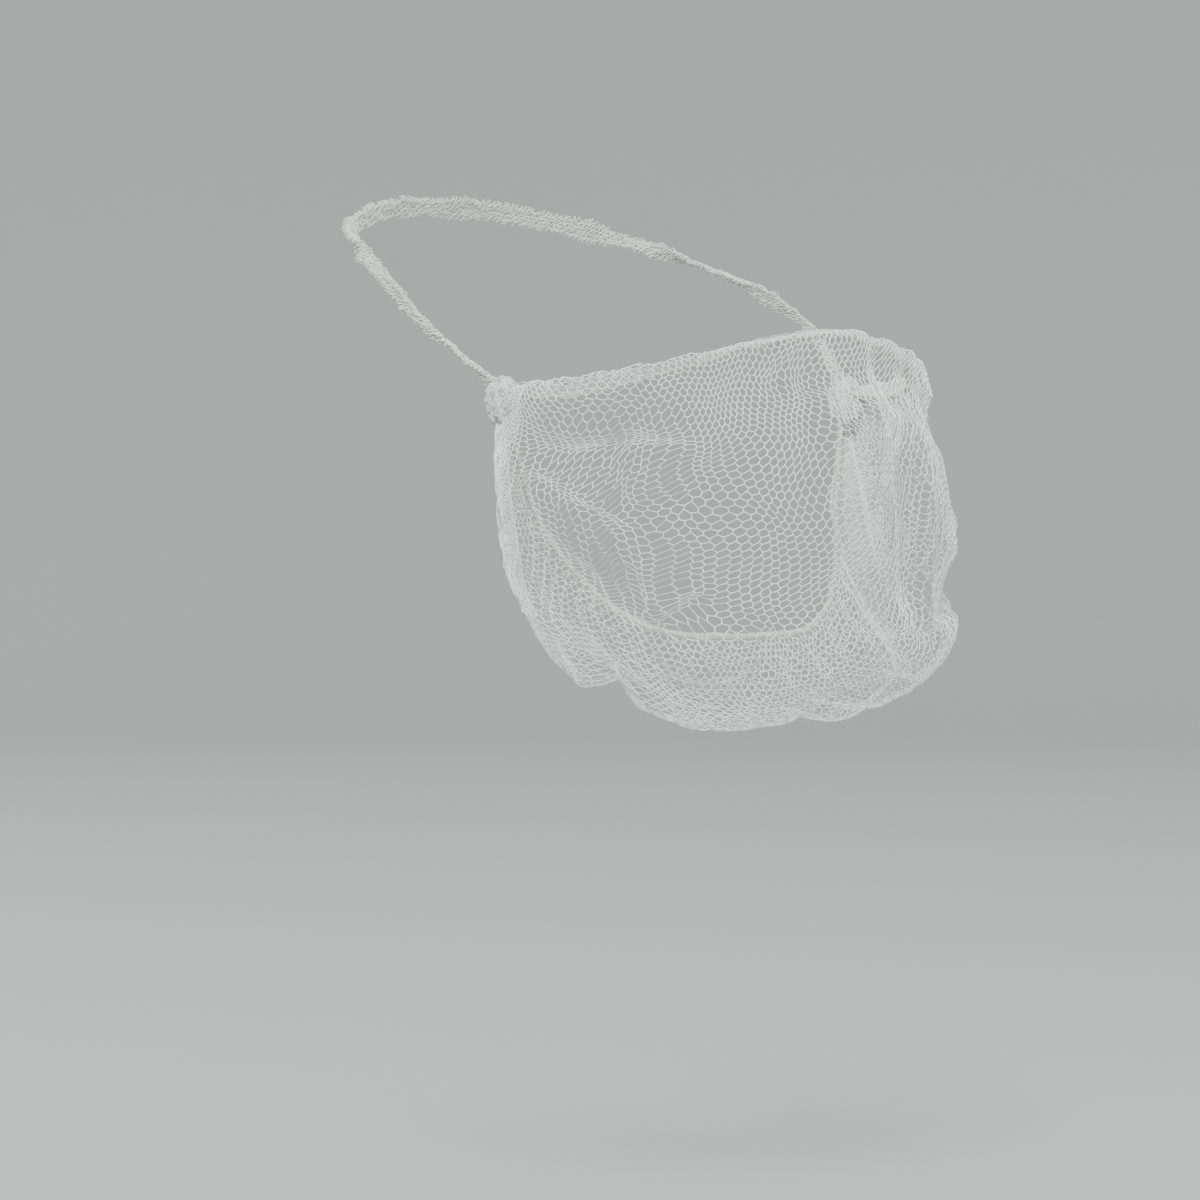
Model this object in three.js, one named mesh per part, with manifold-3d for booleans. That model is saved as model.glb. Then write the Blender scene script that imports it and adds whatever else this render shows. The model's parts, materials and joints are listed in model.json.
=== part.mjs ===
// Disposable beard net in the form it has when worn. Millimetres, +Z up.
// The wearer faces -Y and has their left at +X. The origin is inside the head, midway between the ears.
import * as THREE from 'three';
import Module from 'manifold-3d';

const wasm = await Module();
wasm.setup();

// Opening of the pouch, where it lies on the face
const cornerHalfSpan = 70; // mid plane to each corner, in front of the ear
const cornerForward = 23; // ear line to the corner
const cornerRise = 1;
const bridgeForward = 98; // ear line to the top edge on the nose bridge
const bridgeRise = 19;
const cheekRimInset = 2; // the top edge is this much nearer the mid plane than the corner
const cheekRimForward = 42; // ear line to where the top edge has settled on the cheek
const cheekRimDrop = 1;
const jawRimInset = 9; // the same for the jaw edge
const jawRimForward = 28;
const jawRimDrop = 41;
const chinRimForward = 60; // ear line to the jaw edge under the chin
const chinRimDrop = 76;

// The net stands off the face and hangs below the jaw
const sidePuff = 11; // beyond the corner, to the side
const frontPuff = 18; // beyond the nose bridge, to the front
const bagHang = 28; // below the jaw edge
const noseTent = 12; // what the nose pushes out of the net
const noseHalfWidth = 17;
const netWall = 1;

// Elastics and band
const rimDiameter = 2.4;
const bandRise = 63; // ear line up to the band at the back of the head
const bandBack = 107; // ear line to the band at the back of the head
const bandHalfSpan = 79; // mid plane to the band over the ear
const bandThickness = 1.8;
const bandWidthAtCorner = 3;
const bandWidthAtBack = 6.5;

// Bunched net that joins band, elastics and pouch at each corner
const bunchLength = 16;
const bunchWidth = 13;
const bunchThickness = 8;
const bunchDrop = 3.5; // corner down to the middle of the bunch
const bunchLean = 18; // degrees, the lower end forward
const bunchPleats = 9;
const bunchPleatDepth = 0.12; // share of the radius

// Small gathers along both elastics, and larger folds
const topGathers = 16;
const jawGathers = 15;
const gatherDepth = 1.5;
const gatherRamp = 7; // the gathers grow over this much, from the elastic
const gatherFade = 16;
const foldWidth = 6;
const foldDepth = 3;

const seatGap = 0.3; // clearance between pieces that are sewn together
const facetSlack = 0.15; // the facets of an elastic stand off its true curve by up to this

// Facets
const pouchColumns = 64;
const pouchRows = 32;
const tubeSides = 8;
const rimSteps = 44;
const bandSteps = 52;
const bunchRings = 8;
const bunchSides = 18;

const pouchHalfWidth = cornerHalfSpan + sidePuff;
const pouchReach = bridgeForward + frontPuff;
const pouchDrop = chinRimDrop + bagHang;
const rimRadius = rimDiameter / 2;
const firstStation = 0.035; // the pouch starts this share of the way from a corner to the middle
const cornerPull = 10; // how quickly a course leaves the corner for its own line

// Courses of the net, from the top edge round the outside to the jaw edge.
// half is a share of the half width. back and reach, at the side and in the middle, are shares of the reach.
// side and front, the levels at the side and in the middle, are shares of the drop. peak is a share of the tent.
// The powers shape the plan across, the plan forward and the change of level.
const topRim = {
  half: (cornerHalfSpan - cheekRimInset) / pouchHalfWidth,
  back: cheekRimForward / pouchReach,
  reach: bridgeForward / pouchReach - 0.018,
  side: -cheekRimDrop / pouchDrop,
  front: bridgeRise / pouchDrop,
  peak: 0.17, across: 0.93, forward: 1.1, fall: 1.5,
};
const jawRim = {
  half: (cornerHalfSpan - jawRimInset) / pouchHalfWidth,
  back: jawRimForward / pouchReach,
  reach: chinRimForward / pouchReach,
  side: -jawRimDrop / pouchDrop,
  front: -chinRimDrop / pouchDrop,
  peak: 0, across: 1, forward: 1.5, fall: 4,
};
const courses = [
  topRim,
  { half: 0.89, back: 0.34, reach: 0.865, side: 0.045, front: 0.19, peak: 0.4, across: 0.93, forward: 1.1, fall: 1.5 },
  { half: 0.915, back: 0.295, reach: 0.865, side: -0.108, front: 0.078, peak: 0.67, across: 0.9, forward: 1, fall: 1.4 },
  { half: 0.965, back: 0.225, reach: 0.945, side: -0.265, front: -0.088, peak: 1, across: 0.88, forward: 1, fall: 1.4 },
  { half: 0.99, back: 0.215, reach: 0.98, side: -0.412, front: -0.373, peak: 0.33, across: 0.86, forward: 1, fall: 1.4 },
  { half: 0.97, back: 0.225, reach: 0.96, side: -0.55, front: -0.61, peak: 0.17, across: 0.86, forward: 1, fall: 1.4 },
  { half: 1, back: 0.25, reach: 1, side: -0.66, front: -0.745, peak: 0, across: 0.83, forward: 1, fall: 1.5 },
  { half: 0.9, back: 0.333, reach: 0.815, side: -0.83, front: -0.98, peak: 0, across: 0.85, forward: 1, fall: 1.3 },
  { half: 0.83, back: 0.14, reach: 0.614, side: -0.49, front: -0.931, peak: 0, across: 0.9, forward: 1.2, fall: 2.6 },
  jawRim,
];

// Folds of the net. u runs from 0 at the right corner to 2 at the left one, t from 0 at the top edge to 1 at the jaw.
// width and depth are shares of the fold's width and depth, and a negative depth is a dent.
const folds = [
  { u1: 0.14, t1: 0.08, u2: 0.6, t2: 0.09, width: 1.1, depth: 0.7 },
  { u1: 0.19, t1: 0.17, u2: 0.66, t2: 0.175, width: 0.8, depth: -0.9 },
  { u1: 0.24, t1: 0.26, u2: 0.4, t2: 0.31, width: 0.9, depth: 0.9 },
  { u1: 0.4, t1: 0.31, u2: 0.56, t2: 0.44, width: 0.9, depth: 1 },
  { u1: 0.3, t1: 0.37, u2: 0.5, t2: 0.5, width: 0.9, depth: -0.9 },
  { u1: 0.46, t1: 0.2, u2: 0.53, t2: 0.33, width: 0.7, depth: -0.5 },
  { u1: 0.58, t1: 0.55, u2: 0.7, t2: 0.47, width: 0.9, depth: 1 },
  { u1: 0.64, t1: 0.59, u2: 0.76, t2: 0.58, width: 1.8, depth: 0.9 },
  { u1: 0.55, t1: 0.59, u2: 0.63, t2: 0.69, width: 0.8, depth: -0.9 },
  { u1: 0.63, t1: 0.69, u2: 0.79, t2: 0.66, width: 0.8, depth: -0.8 },
  { u1: 0.79, t1: 0.66, u2: 0.84, t2: 0.54, width: 0.8, depth: -0.8 },
  { u1: 0.3, t1: 0.55, u2: 0.4, t2: 0.74, width: 0.9, depth: 0.8 },
  { u1: 0.61, t1: 0.74, u2: 0.8, t2: 0.75, width: 2.4, depth: 1.7 },
  { u1: 0.47, t1: 0.66, u2: 0.54, t2: 0.84, width: 0.8, depth: -1 },
  { u1: 0.97, t1: 0.7, u2: 1, t2: 0.84, width: 0.8, depth: -0.8 },
  { u1: 1.12, t1: 0.66, u2: 1.1, t2: 0.84, width: 0.8, depth: -1 },
  { u1: 0.91, t1: 0.02, u2: 0.9, t2: 0.13, width: 0.6, depth: -0.5 },
  { u1: 1.09, t1: 0.02, u2: 1.11, t2: 0.14, width: 0.6, depth: -0.6 },
  { u1: 1.07, t1: 0.22, u2: 1.13, t2: 0.48, width: 0.9, depth: -1 },
  { u1: 1.17, t1: 0.2, u2: 1.2, t2: 0.5, width: 0.8, depth: 0.6 },
  { u1: 0.98, t1: 0.54, u2: 1.2, t2: 0.55, width: 0.8, depth: -0.8 },
  { u1: 1.2, t1: 0.55, u2: 1.5, t2: 0.5, width: 1, depth: -1.3 },
  { u1: 1.3, t1: 0.42, u2: 1.5, t2: 0.4, width: 1.2, depth: 0.7 },
  { u1: 1.34, t1: 0.18, u2: 1.76, t2: 0.16, width: 0.8, depth: -0.8 },
  { u1: 1.4, t1: 0.09, u2: 1.84, t2: 0.08, width: 1.1, depth: 0.6 },
  { u1: 1.5, t1: 0.36, u2: 1.74, t2: 0.25, width: 0.9, depth: 0.9 },
  { u1: 1.42, t1: 0.66, u2: 1.36, t2: 0.82, width: 0.9, depth: -0.9 },
  { u1: 1.18, t1: 0.74, u2: 1.3, t2: 0.73, width: 2, depth: -0.4 },
  { u1: 1.62, t1: 0.52, u2: 1.56, t2: 0.74, width: 0.9, depth: 0.8 },
];

// Band round the back of the head. across and back are shares of its half span and of its back, up of its rise.
const bandCourse = [
  { across: 0.95, back: -0.08, up: 0.2 },
  { across: 1, back: 0.07, up: 0.37 },
  { across: 0.965, back: 0.23, up: 0.52 },
  { across: 0.89, back: 0.41, up: 0.65 },
  { across: 0.74, back: 0.68, up: 0.8 },
  { across: 0.53, back: 0.865, up: 0.91 },
  { across: 0.26, back: 0.965, up: 0.98 },
];

const quarterTurn = Math.PI / 2;
const corner = new THREE.Vector3(-cornerHalfSpan, -cornerForward, cornerRise);

function clamp(x, low, high) {
  return Math.min(high, Math.max(low, x));
}

// Point of a course at station u
function coursePoint(c, u) {
  const v = Math.min(u, 2 - u);
  const turn = quarterTurn * v ** 1.3;
  const cosine = clamp(Math.cos(turn), 0, 1);
  const sine = Math.sin(turn);
  const x = pouchHalfWidth * c.half * cosine ** c.across;
  const nose = noseTent * c.peak * Math.exp(-((x / noseHalfWidth) ** 2));
  const y = -pouchReach * (c.back + (c.reach - c.back) * sine ** c.forward) - nose;
  const z = pouchDrop * (c.front + (c.side - c.front) * cosine ** c.fall);
  const pull = 1 - (1 - v) ** cornerPull;
  const p = new THREE.Vector3(-x, y, z).sub(corner).multiplyScalar(pull).add(corner);
  if (u > 1) p.x = -p.x;
  return p;
}

// The net's section at station u, from the top elastic round the bag to the jaw elastic
function section(u) {
  const points = courses.map((c) => coursePoint(c, u));
  const curve = new THREE.CatmullRomCurve3(points, false, 'centripetal');
  curve.arcLengthDivisions = 160;
  return curve;
}

// Stations are closer together near the corners
function station(i, columns) {
  const w = (2 * i) / columns;
  const v = firstStation + (1 - firstStation) * Math.min(w, 2 - w) ** 1.2;
  return w <= 1 ? v : 2 - v;
}

function foldLift(u, t, arcWidth, arcHeight) {
  let lift = 0;
  for (const f of folds) {
    const run = new THREE.Vector2((f.u2 - f.u1) * arcWidth, (f.t2 - f.t1) * arcHeight);
    const from = new THREE.Vector2((u - f.u1) * arcWidth, (t - f.t1) * arcHeight);
    const share = clamp(from.dot(run) / run.lengthSq(), 0, 1);
    const away = from.addScaledVector(run, -share).length();
    lift += foldDepth * f.depth * Math.exp(-((away / (foldWidth * f.width)) ** 2));
  }
  return lift;
}

function gatherLift(u, fromEdge, count) {
  const grown = clamp((fromEdge - rimRadius - seatGap) / gatherRamp, 0, 1);
  const wave = Math.sin(Math.PI * count * u + 0.8 * Math.sin(4.3 * u));
  return gatherDepth * grown * Math.exp(-fromEdge / gatherFade) * wave;
}

// Middle of the wall as a grid of points
function pouchGrid(columns, rows) {
  const grid = [];
  for (let i = 0; i <= columns; i++) {
    const u = station(i, columns);
    const curve = section(u);
    const length = curve.getLength();
    const edge = (rimRadius + seatGap + facetSlack) / length;
    const line = [];
    for (let j = 0; j <= rows; j++) {
      const t = edge + ((1 - 2 * edge) * j) / rows;
      const point = curve.getPointAt(t);
      const settle = clamp(length / 120, 0, 1) ** 2;
      const small = gatherLift(u, t * length, topGathers) + gatherLift(u, (1 - t) * length, jawGathers);
      const edgeFade = clamp((Math.min(t, 1 - t) * length - rimRadius) / 12, 0, 1);
      line.push({ point, lift: settle * (small + edgeFade * foldLift(u, t, 160, 175)) });
    }
    grid.push(line);
  }
  return grid;
}

function gridNormal(points, i, j) {
  const last = points.length - 1;
  const end = points[0].length - 1;
  const along = points[Math.min(i + 1, last)][j].clone().sub(points[Math.max(i - 1, 0)][j]);
  const down = points[i][Math.min(j + 1, end)].clone().sub(points[i][Math.max(j - 1, 0)]);
  return down.cross(along).normalize();
}

function moved(points, amount) {
  return points.map((line, i) =>
    line.map((p, j) => p.clone().addScaledVector(gridNormal(points, i, j), amount(i, j))),
  );
}

function geometryOf(points, faces) {
  const geometry = new THREE.BufferGeometry();
  geometry.setAttribute('position', new THREE.Float32BufferAttribute(points.flatMap((p) => p.toArray()), 3));
  geometry.setIndex(faces.flat());
  return geometry;
}

// A wall between two grids of points, closed along its four edges
function wall(outer, inner) {
  const columns = outer.length - 1;
  const rows = outer[0].length - 1;
  const count = (columns + 1) * (rows + 1);
  const at = (i, j) => i * (rows + 1) + j;
  const faces = [];
  const quad = (a, b, c, d) => faces.push([a, b, c], [a, c, d]);
  for (let i = 0; i < columns; i++) {
    for (let j = 0; j < rows; j++) {
      quad(at(i, j), at(i, j + 1), at(i + 1, j + 1), at(i + 1, j));
      quad(count + at(i, j), count + at(i + 1, j), count + at(i + 1, j + 1), count + at(i, j + 1));
    }
    quad(at(i, 0), at(i + 1, 0), count + at(i + 1, 0), count + at(i, 0));
    quad(at(i + 1, rows), at(i, rows), count + at(i, rows), count + at(i + 1, rows));
  }
  for (let j = 0; j < rows; j++) {
    quad(at(0, j + 1), at(0, j), count + at(0, j), count + at(0, j + 1));
    quad(at(columns, j), at(columns, j + 1), count + at(columns, j + 1), count + at(columns, j));
  }
  return geometryOf([...outer.flat(), ...inner.flat()], faces);
}

// A rounded strip along a curve. size(share) gives its width and thickness, facing(point) the side it turns outwards.
function strip(curve, steps, size, facing) {
  const points = [];
  const faces = [];
  for (let i = 0; i <= steps; i++) {
    const share = i / steps;
    const middle = curve.getPointAt(share);
    const tangent = curve.getTangentAt(share);
    const out = facing(middle);
    out.addScaledVector(tangent, -out.dot(tangent)).normalize();
    const wide = new THREE.Vector3().crossVectors(out, tangent);
    const { width, thickness } = size(share);
    for (let k = 0; k < tubeSides; k++) {
      const angle = (2 * Math.PI * k) / tubeSides;
      const p = middle.clone().addScaledVector(wide, (Math.cos(angle) * width) / 2);
      points.push(p.addScaledVector(out, (Math.sin(angle) * thickness) / 2));
    }
  }
  const at = (i, k) => i * tubeSides + (k % tubeSides);
  for (let i = 0; i < steps; i++) {
    for (let k = 0; k < tubeSides; k++) {
      faces.push([at(i, k), at(i, k + 1), at(i + 1, k + 1)]);
      faces.push([at(i, k), at(i + 1, k + 1), at(i + 1, k)]);
    }
  }
  for (let k = 1; k < tubeSides - 1; k++) {
    faces.push([at(0, 0), at(0, k + 1), at(0, k)]);
    faces.push([at(steps, 0), at(steps, k), at(steps, k + 1)]);
  }
  return geometryOf(points, faces);
}

function outOfHead(p) {
  return new THREE.Vector3(p.x, p.y - 10, 0.35 * Math.max(0, p.y));
}

// The bunch is a pleated knot round a line that leans forward, larger by grow all round
function bunch(grow) {
  const lean = THREE.MathUtils.degToRad(bunchLean);
  const down = new THREE.Vector3(0, -Math.sin(lean), -Math.cos(lean));
  const ahead = new THREE.Vector3(0, -Math.cos(lean), Math.sin(lean));
  const across = new THREE.Vector3(1, 0, 0);
  const middle = corner.clone().addScaledVector(down, bunchDrop);
  const points = [middle.clone().addScaledVector(down, -bunchLength / 2 - grow)];
  const faces = [];
  for (let i = 1; i < bunchRings; i++) {
    const level = Math.cos((Math.PI * i) / bunchRings);
    const girth = Math.sin((Math.PI * i) / bunchRings) ** 0.8;
    for (let k = 0; k < bunchSides; k++) {
      const angle = (2 * Math.PI * k) / bunchSides;
      const pleat = girth * (1 + bunchPleatDepth * Math.cos(bunchPleats * angle));
      const p = middle.clone().addScaledVector(down, -level * (bunchLength / 2 + grow));
      p.addScaledVector(ahead, Math.cos(angle) * pleat * (bunchWidth / 2 + grow));
      points.push(p.addScaledVector(across, Math.sin(angle) * pleat * (bunchThickness / 2 + grow)));
    }
  }
  points.push(middle.clone().addScaledVector(down, bunchLength / 2 + grow));
  const last = points.length - 1;
  const at = (i, k) => 1 + (i - 1) * bunchSides + (k % bunchSides);
  for (let k = 0; k < bunchSides; k++) {
    faces.push([0, at(1, k), at(1, k + 1)]);
    faces.push([last, at(bunchRings - 1, k + 1), at(bunchRings - 1, k)]);
    for (let i = 1; i < bunchRings - 1; i++) {
      faces.push([at(i, k), at(i + 1, k + 1), at(i, k + 1)]);
      faces.push([at(i, k), at(i + 1, k), at(i + 1, k + 1)]);
    }
  }
  return geometryOf(points, faces);
}

function solidOf(geometry) {
  const vertProperties = geometry.getAttribute('position').array;
  const triVerts = new Uint32Array(geometry.index.array);
  const solid = new wasm.Manifold(new wasm.Mesh({ numProp: 3, vertProperties, triVerts }));
  if (solid.volume() < 0) throw new Error('a body is inside out');
  return solid;
}

function mirrored(solid) {
  return solid.mirror([1, 0, 0]);
}

function largest(solid) {
  return solid.decompose().reduce((a, b) => (b.volume() > a.volume() ? b : a));
}

const group = new THREE.Group();

function addPiece(name, solid, colour) {
  const mesh = solid.getMesh();
  const geometry = new THREE.BufferGeometry();
  geometry.setAttribute('position', new THREE.BufferAttribute(mesh.vertProperties, 3));
  geometry.setIndex(new THREE.BufferAttribute(mesh.triVerts, 1));
  geometry.computeVertexNormals();
  const piece = new THREE.Mesh(geometry, new THREE.MeshStandardMaterial({ color: colour, roughness: 0.8 }));
  piece.name = name;
  group.add(piece);
}

// Pouch of hexagonal net
const middleWall = pouchGrid(pouchColumns, pouchRows);
const flatWall = middleWall.map((line) => line.map((node) => node.point));
const foldedWall = moved(flatWall, (i, j) => middleWall[i][j].lift);
const outerWall = moved(foldedWall, () => netWall / 2);
const innerWall = moved(foldedWall, () => -netWall / 2);
const pouch = solidOf(wall(outerWall, innerWall));

// Elastics along the two edges of the pouch
function rimCurve(course) {
  const points = [];
  for (let i = 0; i <= 40; i++) points.push(coursePoint(course, 0.004 + (1.992 * i) / 40));
  return new THREE.CatmullRomCurve3(points, false, 'centripetal');
}
const rimSize = () => ({ width: rimDiameter, thickness: rimDiameter });
const upwards = () => new THREE.Vector3(0, 0.3, 1);
const downwards = (p) => new THREE.Vector3(p.x, 20, 0);
const topElastic = solidOf(strip(rimCurve(topRim), rimSteps, rimSize, upwards));
const jawElastic = solidOf(strip(rimCurve(jawRim), rimSteps, rimSize, downwards));

// Band from corner to corner round the back of the head
const bandHalf = bandCourse.map(
  (b) => new THREE.Vector3(-bandHalfSpan * b.across, bandBack * b.back, bandRise * b.up),
);
const bandPoints = [
  corner,
  ...bandHalf,
  new THREE.Vector3(0, bandBack, bandRise),
  ...bandHalf.map((p) => new THREE.Vector3(-p.x, p.y, p.z)).reverse(),
  new THREE.Vector3(-corner.x, corner.y, corner.z),
];
const bandCurve = new THREE.CatmullRomCurve3(bandPoints, false, 'centripetal');
function bandSize(share) {
  const fromCorner = 2 * Math.min(share, 1 - share);
  const spread = clamp((fromCorner - 0.35) / 0.35, 0, 1);
  const width = bandWidthAtCorner + (bandWidthAtBack - bandWidthAtCorner) * spread;
  return { width, thickness: bandThickness };
}
const band = solidOf(strip(bandCurve, bandSteps, bandSize, outOfHead));

// Bunches, and the room they take in the other pieces
const rightBunch = solidOf(bunch(0));
const rightRoom = solidOf(bunch(seatGap));
const room = rightRoom.add(mirrored(rightRoom));

addPiece('net_pouch', largest(pouch.subtract(room)), 0xe4e8e6);
addPiece('top_elastic', largest(topElastic.subtract(room)), 0xdde2dc);
addPiece('jaw_elastic', largest(jawElastic.subtract(room)), 0xdde2dc);
addPiece('head_band', largest(band.subtract(room)), 0xd9dfd5);
addPiece('corner_gather_right', rightBunch, 0xe0e5e1);
addPiece('corner_gather_left', mirrored(rightBunch), 0xe0e5e1);

export default group;
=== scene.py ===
"""A disposable beard net on its packed frame: hexagonal net, elastics, knitted band and corner knots."""

import json
import math

import bpy
import numpy as np
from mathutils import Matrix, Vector

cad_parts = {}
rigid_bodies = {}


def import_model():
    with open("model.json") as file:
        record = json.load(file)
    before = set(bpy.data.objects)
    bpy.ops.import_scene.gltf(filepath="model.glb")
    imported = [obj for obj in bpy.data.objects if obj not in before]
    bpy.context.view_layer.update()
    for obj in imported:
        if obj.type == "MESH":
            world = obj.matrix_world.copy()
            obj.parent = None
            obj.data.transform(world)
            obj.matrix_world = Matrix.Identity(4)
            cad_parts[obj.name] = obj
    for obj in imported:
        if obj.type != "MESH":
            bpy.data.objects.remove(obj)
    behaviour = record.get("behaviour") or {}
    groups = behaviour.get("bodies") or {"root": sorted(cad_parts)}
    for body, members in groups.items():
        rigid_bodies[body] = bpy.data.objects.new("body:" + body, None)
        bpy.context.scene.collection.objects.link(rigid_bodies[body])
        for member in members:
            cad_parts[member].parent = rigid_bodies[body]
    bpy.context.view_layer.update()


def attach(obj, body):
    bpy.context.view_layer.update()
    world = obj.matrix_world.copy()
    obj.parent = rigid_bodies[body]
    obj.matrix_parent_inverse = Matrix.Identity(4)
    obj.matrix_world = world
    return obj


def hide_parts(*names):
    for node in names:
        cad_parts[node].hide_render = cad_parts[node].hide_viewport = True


bl_info = {
    "name": "Disposable beard net",
    "version": (1, 0, 0),
    "blender": (4, 5, 0),
    "location": "View3D > Sidebar > Beard net",
    "description": "Builds a worn beard net of knitted yarn on its packed frame",
    "category": "Add Mesh",
}

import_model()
SEED = 11

# Courses of the net between its two edges. half, back, reach, side, front and peak are shares of the pouch's
# half width, reach, drop and tent, and across, forward and fall say how a course bends.
COURSE_KEYS = ("half", "back", "reach", "side", "front", "peak", "across", "forward", "fall")
MIDDLE_COURSES = (
    (0.89, 0.34, 0.865, 0.045, 0.19, 0.4, 0.93, 1.1, 1.5),
    (0.915, 0.295, 0.865, -0.108, 0.078, 0.67, 0.9, 1.0, 1.4),
    (0.965, 0.225, 0.945, -0.265, -0.088, 1.0, 0.88, 1.0, 1.4),
    (0.99, 0.215, 0.98, -0.412, -0.373, 0.33, 0.86, 1.0, 1.4),
    (0.97, 0.225, 0.96, -0.55, -0.61, 0.17, 0.86, 1.0, 1.4),
    (1.0, 0.25, 1.0, -0.66, -0.745, 0.0, 0.83, 1.0, 1.5),
    (0.9, 0.333, 0.815, -0.83, -0.98, 0.0, 0.85, 1.0, 1.3),
    (0.83, 0.14, 0.614, -0.49, -0.931, 0.0, 0.9, 1.2, 2.6),
)
# peak, across, forward and fall of the top edge and of the jaw edge
TOP_BEND = (0.17, 0.93, 1.1, 1.5)
JAW_BEND = (0.0, 1.0, 1.5, 4.0)
TOP_SLACK = 0.018  # taken off the top edge's reach, as a share, because its peak adds about as much
COURSE_EASE = 1.3  # above 1, a course turns more slowly near the corner than in front
CORNER_PULL = 10  # how quickly a course leaves the corner for its own line

# Half width and height in metres of the flat sheet on which the folds, pleats and noise are laid out
ARC_HALF_WIDTH = 0.160
ARC_HEIGHT = 0.175

# Folds: from (u1, t1) to (u2, t2), with u from 0 at the right corner to 2 at the left one and t from 0 at the
# top edge to 1 at the jaw edge. width and depth are shares of the fold's width and depth.
FOLD_KEYS = ("u1", "t1", "u2", "t2", "width", "depth")
FOLDS = (
    (0.14, 0.08, 0.6, 0.09, 1.1, 0.7),
    (0.19, 0.17, 0.66, 0.175, 0.8, -0.9),
    (0.24, 0.26, 0.4, 0.31, 0.9, 0.9),
    (0.4, 0.31, 0.56, 0.44, 0.9, 1.0),
    (0.3, 0.37, 0.5, 0.5, 0.9, -0.9),
    (0.46, 0.2, 0.53, 0.33, 0.7, -0.5),
    (0.58, 0.55, 0.7, 0.47, 0.9, 1.0),
    (0.64, 0.59, 0.76, 0.58, 1.8, 0.9),
    (0.55, 0.59, 0.63, 0.69, 0.8, -0.9),
    (0.63, 0.69, 0.79, 0.66, 0.8, -0.8),
    (0.79, 0.66, 0.84, 0.54, 0.8, -0.8),
    (0.3, 0.55, 0.4, 0.74, 0.9, 0.8),
    (0.61, 0.74, 0.8, 0.75, 2.4, 1.7),
    (0.47, 0.66, 0.54, 0.84, 0.8, -1.0),
    (0.97, 0.7, 1.0, 0.84, 0.8, -0.8),
    (1.12, 0.66, 1.1, 0.84, 0.8, -1.0),
    (0.91, 0.02, 0.9, 0.13, 0.6, -0.5),
    (1.09, 0.02, 1.11, 0.14, 0.6, -0.6),
    (1.07, 0.22, 1.13, 0.48, 0.9, -1.0),
    (1.17, 0.2, 1.2, 0.5, 0.8, 0.6),
    (0.98, 0.54, 1.2, 0.55, 0.8, -0.8),
    (1.2, 0.55, 1.5, 0.5, 1.0, -1.3),
    (1.3, 0.42, 1.5, 0.4, 1.2, 0.7),
    (1.34, 0.18, 1.76, 0.16, 0.8, -0.8),
    (1.4, 0.09, 1.84, 0.08, 1.1, 0.6),
    (1.5, 0.36, 1.74, 0.25, 0.9, 0.9),
    (1.42, 0.66, 1.36, 0.82, 0.9, -0.9),
    (1.18, 0.74, 1.3, 0.73, 2.0, -0.4),
    (1.62, 0.52, 1.56, 0.74, 0.9, 0.8),
)

# Pleats where the net is only drawn together, without a fold: ends as for a fold, reach in metres, strength
PLEAT_KEYS = ("u1", "t1", "u2", "t2", "reach", "strength")
PLEATS = (
    (0.24, 0.235, 0.37, 0.275, 0.006, 0.8),
    (0.36, 0.27, 0.53, 0.37, 0.006, 0.8),
    (0.57, 0.57, 0.69, 0.48, 0.006, 0.85),
    (0.52, 0.64, 0.66, 0.7, 0.005, 0.6),
    (0.91, 0.02, 0.83, 0.1, 0.006, 0.6),
    (0.96, 0.13, 0.97, 0.26, 0.006, 0.65),
    (1.0, 0.2, 1.03, 0.4, 0.008, 0.55),
    (1.03, 0.38, 1.14, 0.52, 0.009, 0.4),
    (1.24, 0.1, 1.32, 0.6, 0.013, 0.6),
    (0.1, 0.14, 0.2, 0.7, 0.012, 0.6),
    (0.5, 0.86, 0.62, 0.72, 0.012, 0.6),
)

# How closely the net's columns lie along u
COLUMN_CROWDING = (
    (0.0, 4.0), (0.08, 3.0), (0.16, 1.4), (0.22, 1.0), (0.6, 0.95), (0.75, 1.15), (0.9, 1.3), (1.1, 1.5),
    (1.3, 1.2), (1.7, 1.0), (1.85, 1.5), (1.92, 3.0), (2.0, 4.0),
)

# Patches where the net is drawn together, above 0, or spread, below 0: middle and reach in u and t, then how
# much its columns and its rows are
PATCH_KEYS = ("u", "t", "reach_u", "reach_t", "columns", "rows")
PATCHES = (
    (0.38, 0.09, 0.26, 0.08, -0.2, 0.0),
    (0.72, 0.1, 0.12, 0.08, 0.6, 0.1),
    (0.46, 0.27, 0.08, 0.07, 0.5, -0.3),
    (0.4, 0.4, 0.16, 0.07, -0.15, 0.1),
    (0.68, 0.28, 0.13, 0.1, -0.2, 0.1),
    (0.7, 0.6, 0.11, 0.07, -0.2, -0.2),
    (0.92, 0.3, 0.14, 0.14, 0.15, -0.15),
    (1.09, 0.34, 0.06, 0.2, 0.8, -0.2),
    (1.25, 0.3, 0.08, 0.12, -0.35, -0.2),
    (1.15, 0.68, 0.25, 0.1, 0.1, 0.5),
    (0.6, 0.8, 0.35, 0.1, 0.2, 0.25),
    (1.62, 0.1, 0.2, 0.08, -0.25, 0.0),
)

# Places where the net lies flat and even: middle and reach in u and t, and how much of the unrest is left out
STILL_KEYS = ("u", "t", "reach_u", "reach_t", "share")
STILL_PLACES = (
    (0.33, 0.12, 0.26, 0.1, 0.97),
    (0.42, 0.44, 0.16, 0.08, 0.5),
    (0.9, 0.8, 0.3, 0.1, 0.4),
)

# Gathers along an edge: a wide wave and a fine one. depth, count and fade are shares of the gathers' own, and
# the wave's sway and its rate make the gathers uneven.
GATHER_KEYS = ("depth", "count", "fade", "sway", "rate")
GATHER_WAVES = (
    (1.0, 1.0, 1.0, 0.8, 4.3),
    (0.2, 3.1, 0.8, 1.7, 5.1),
)

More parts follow.
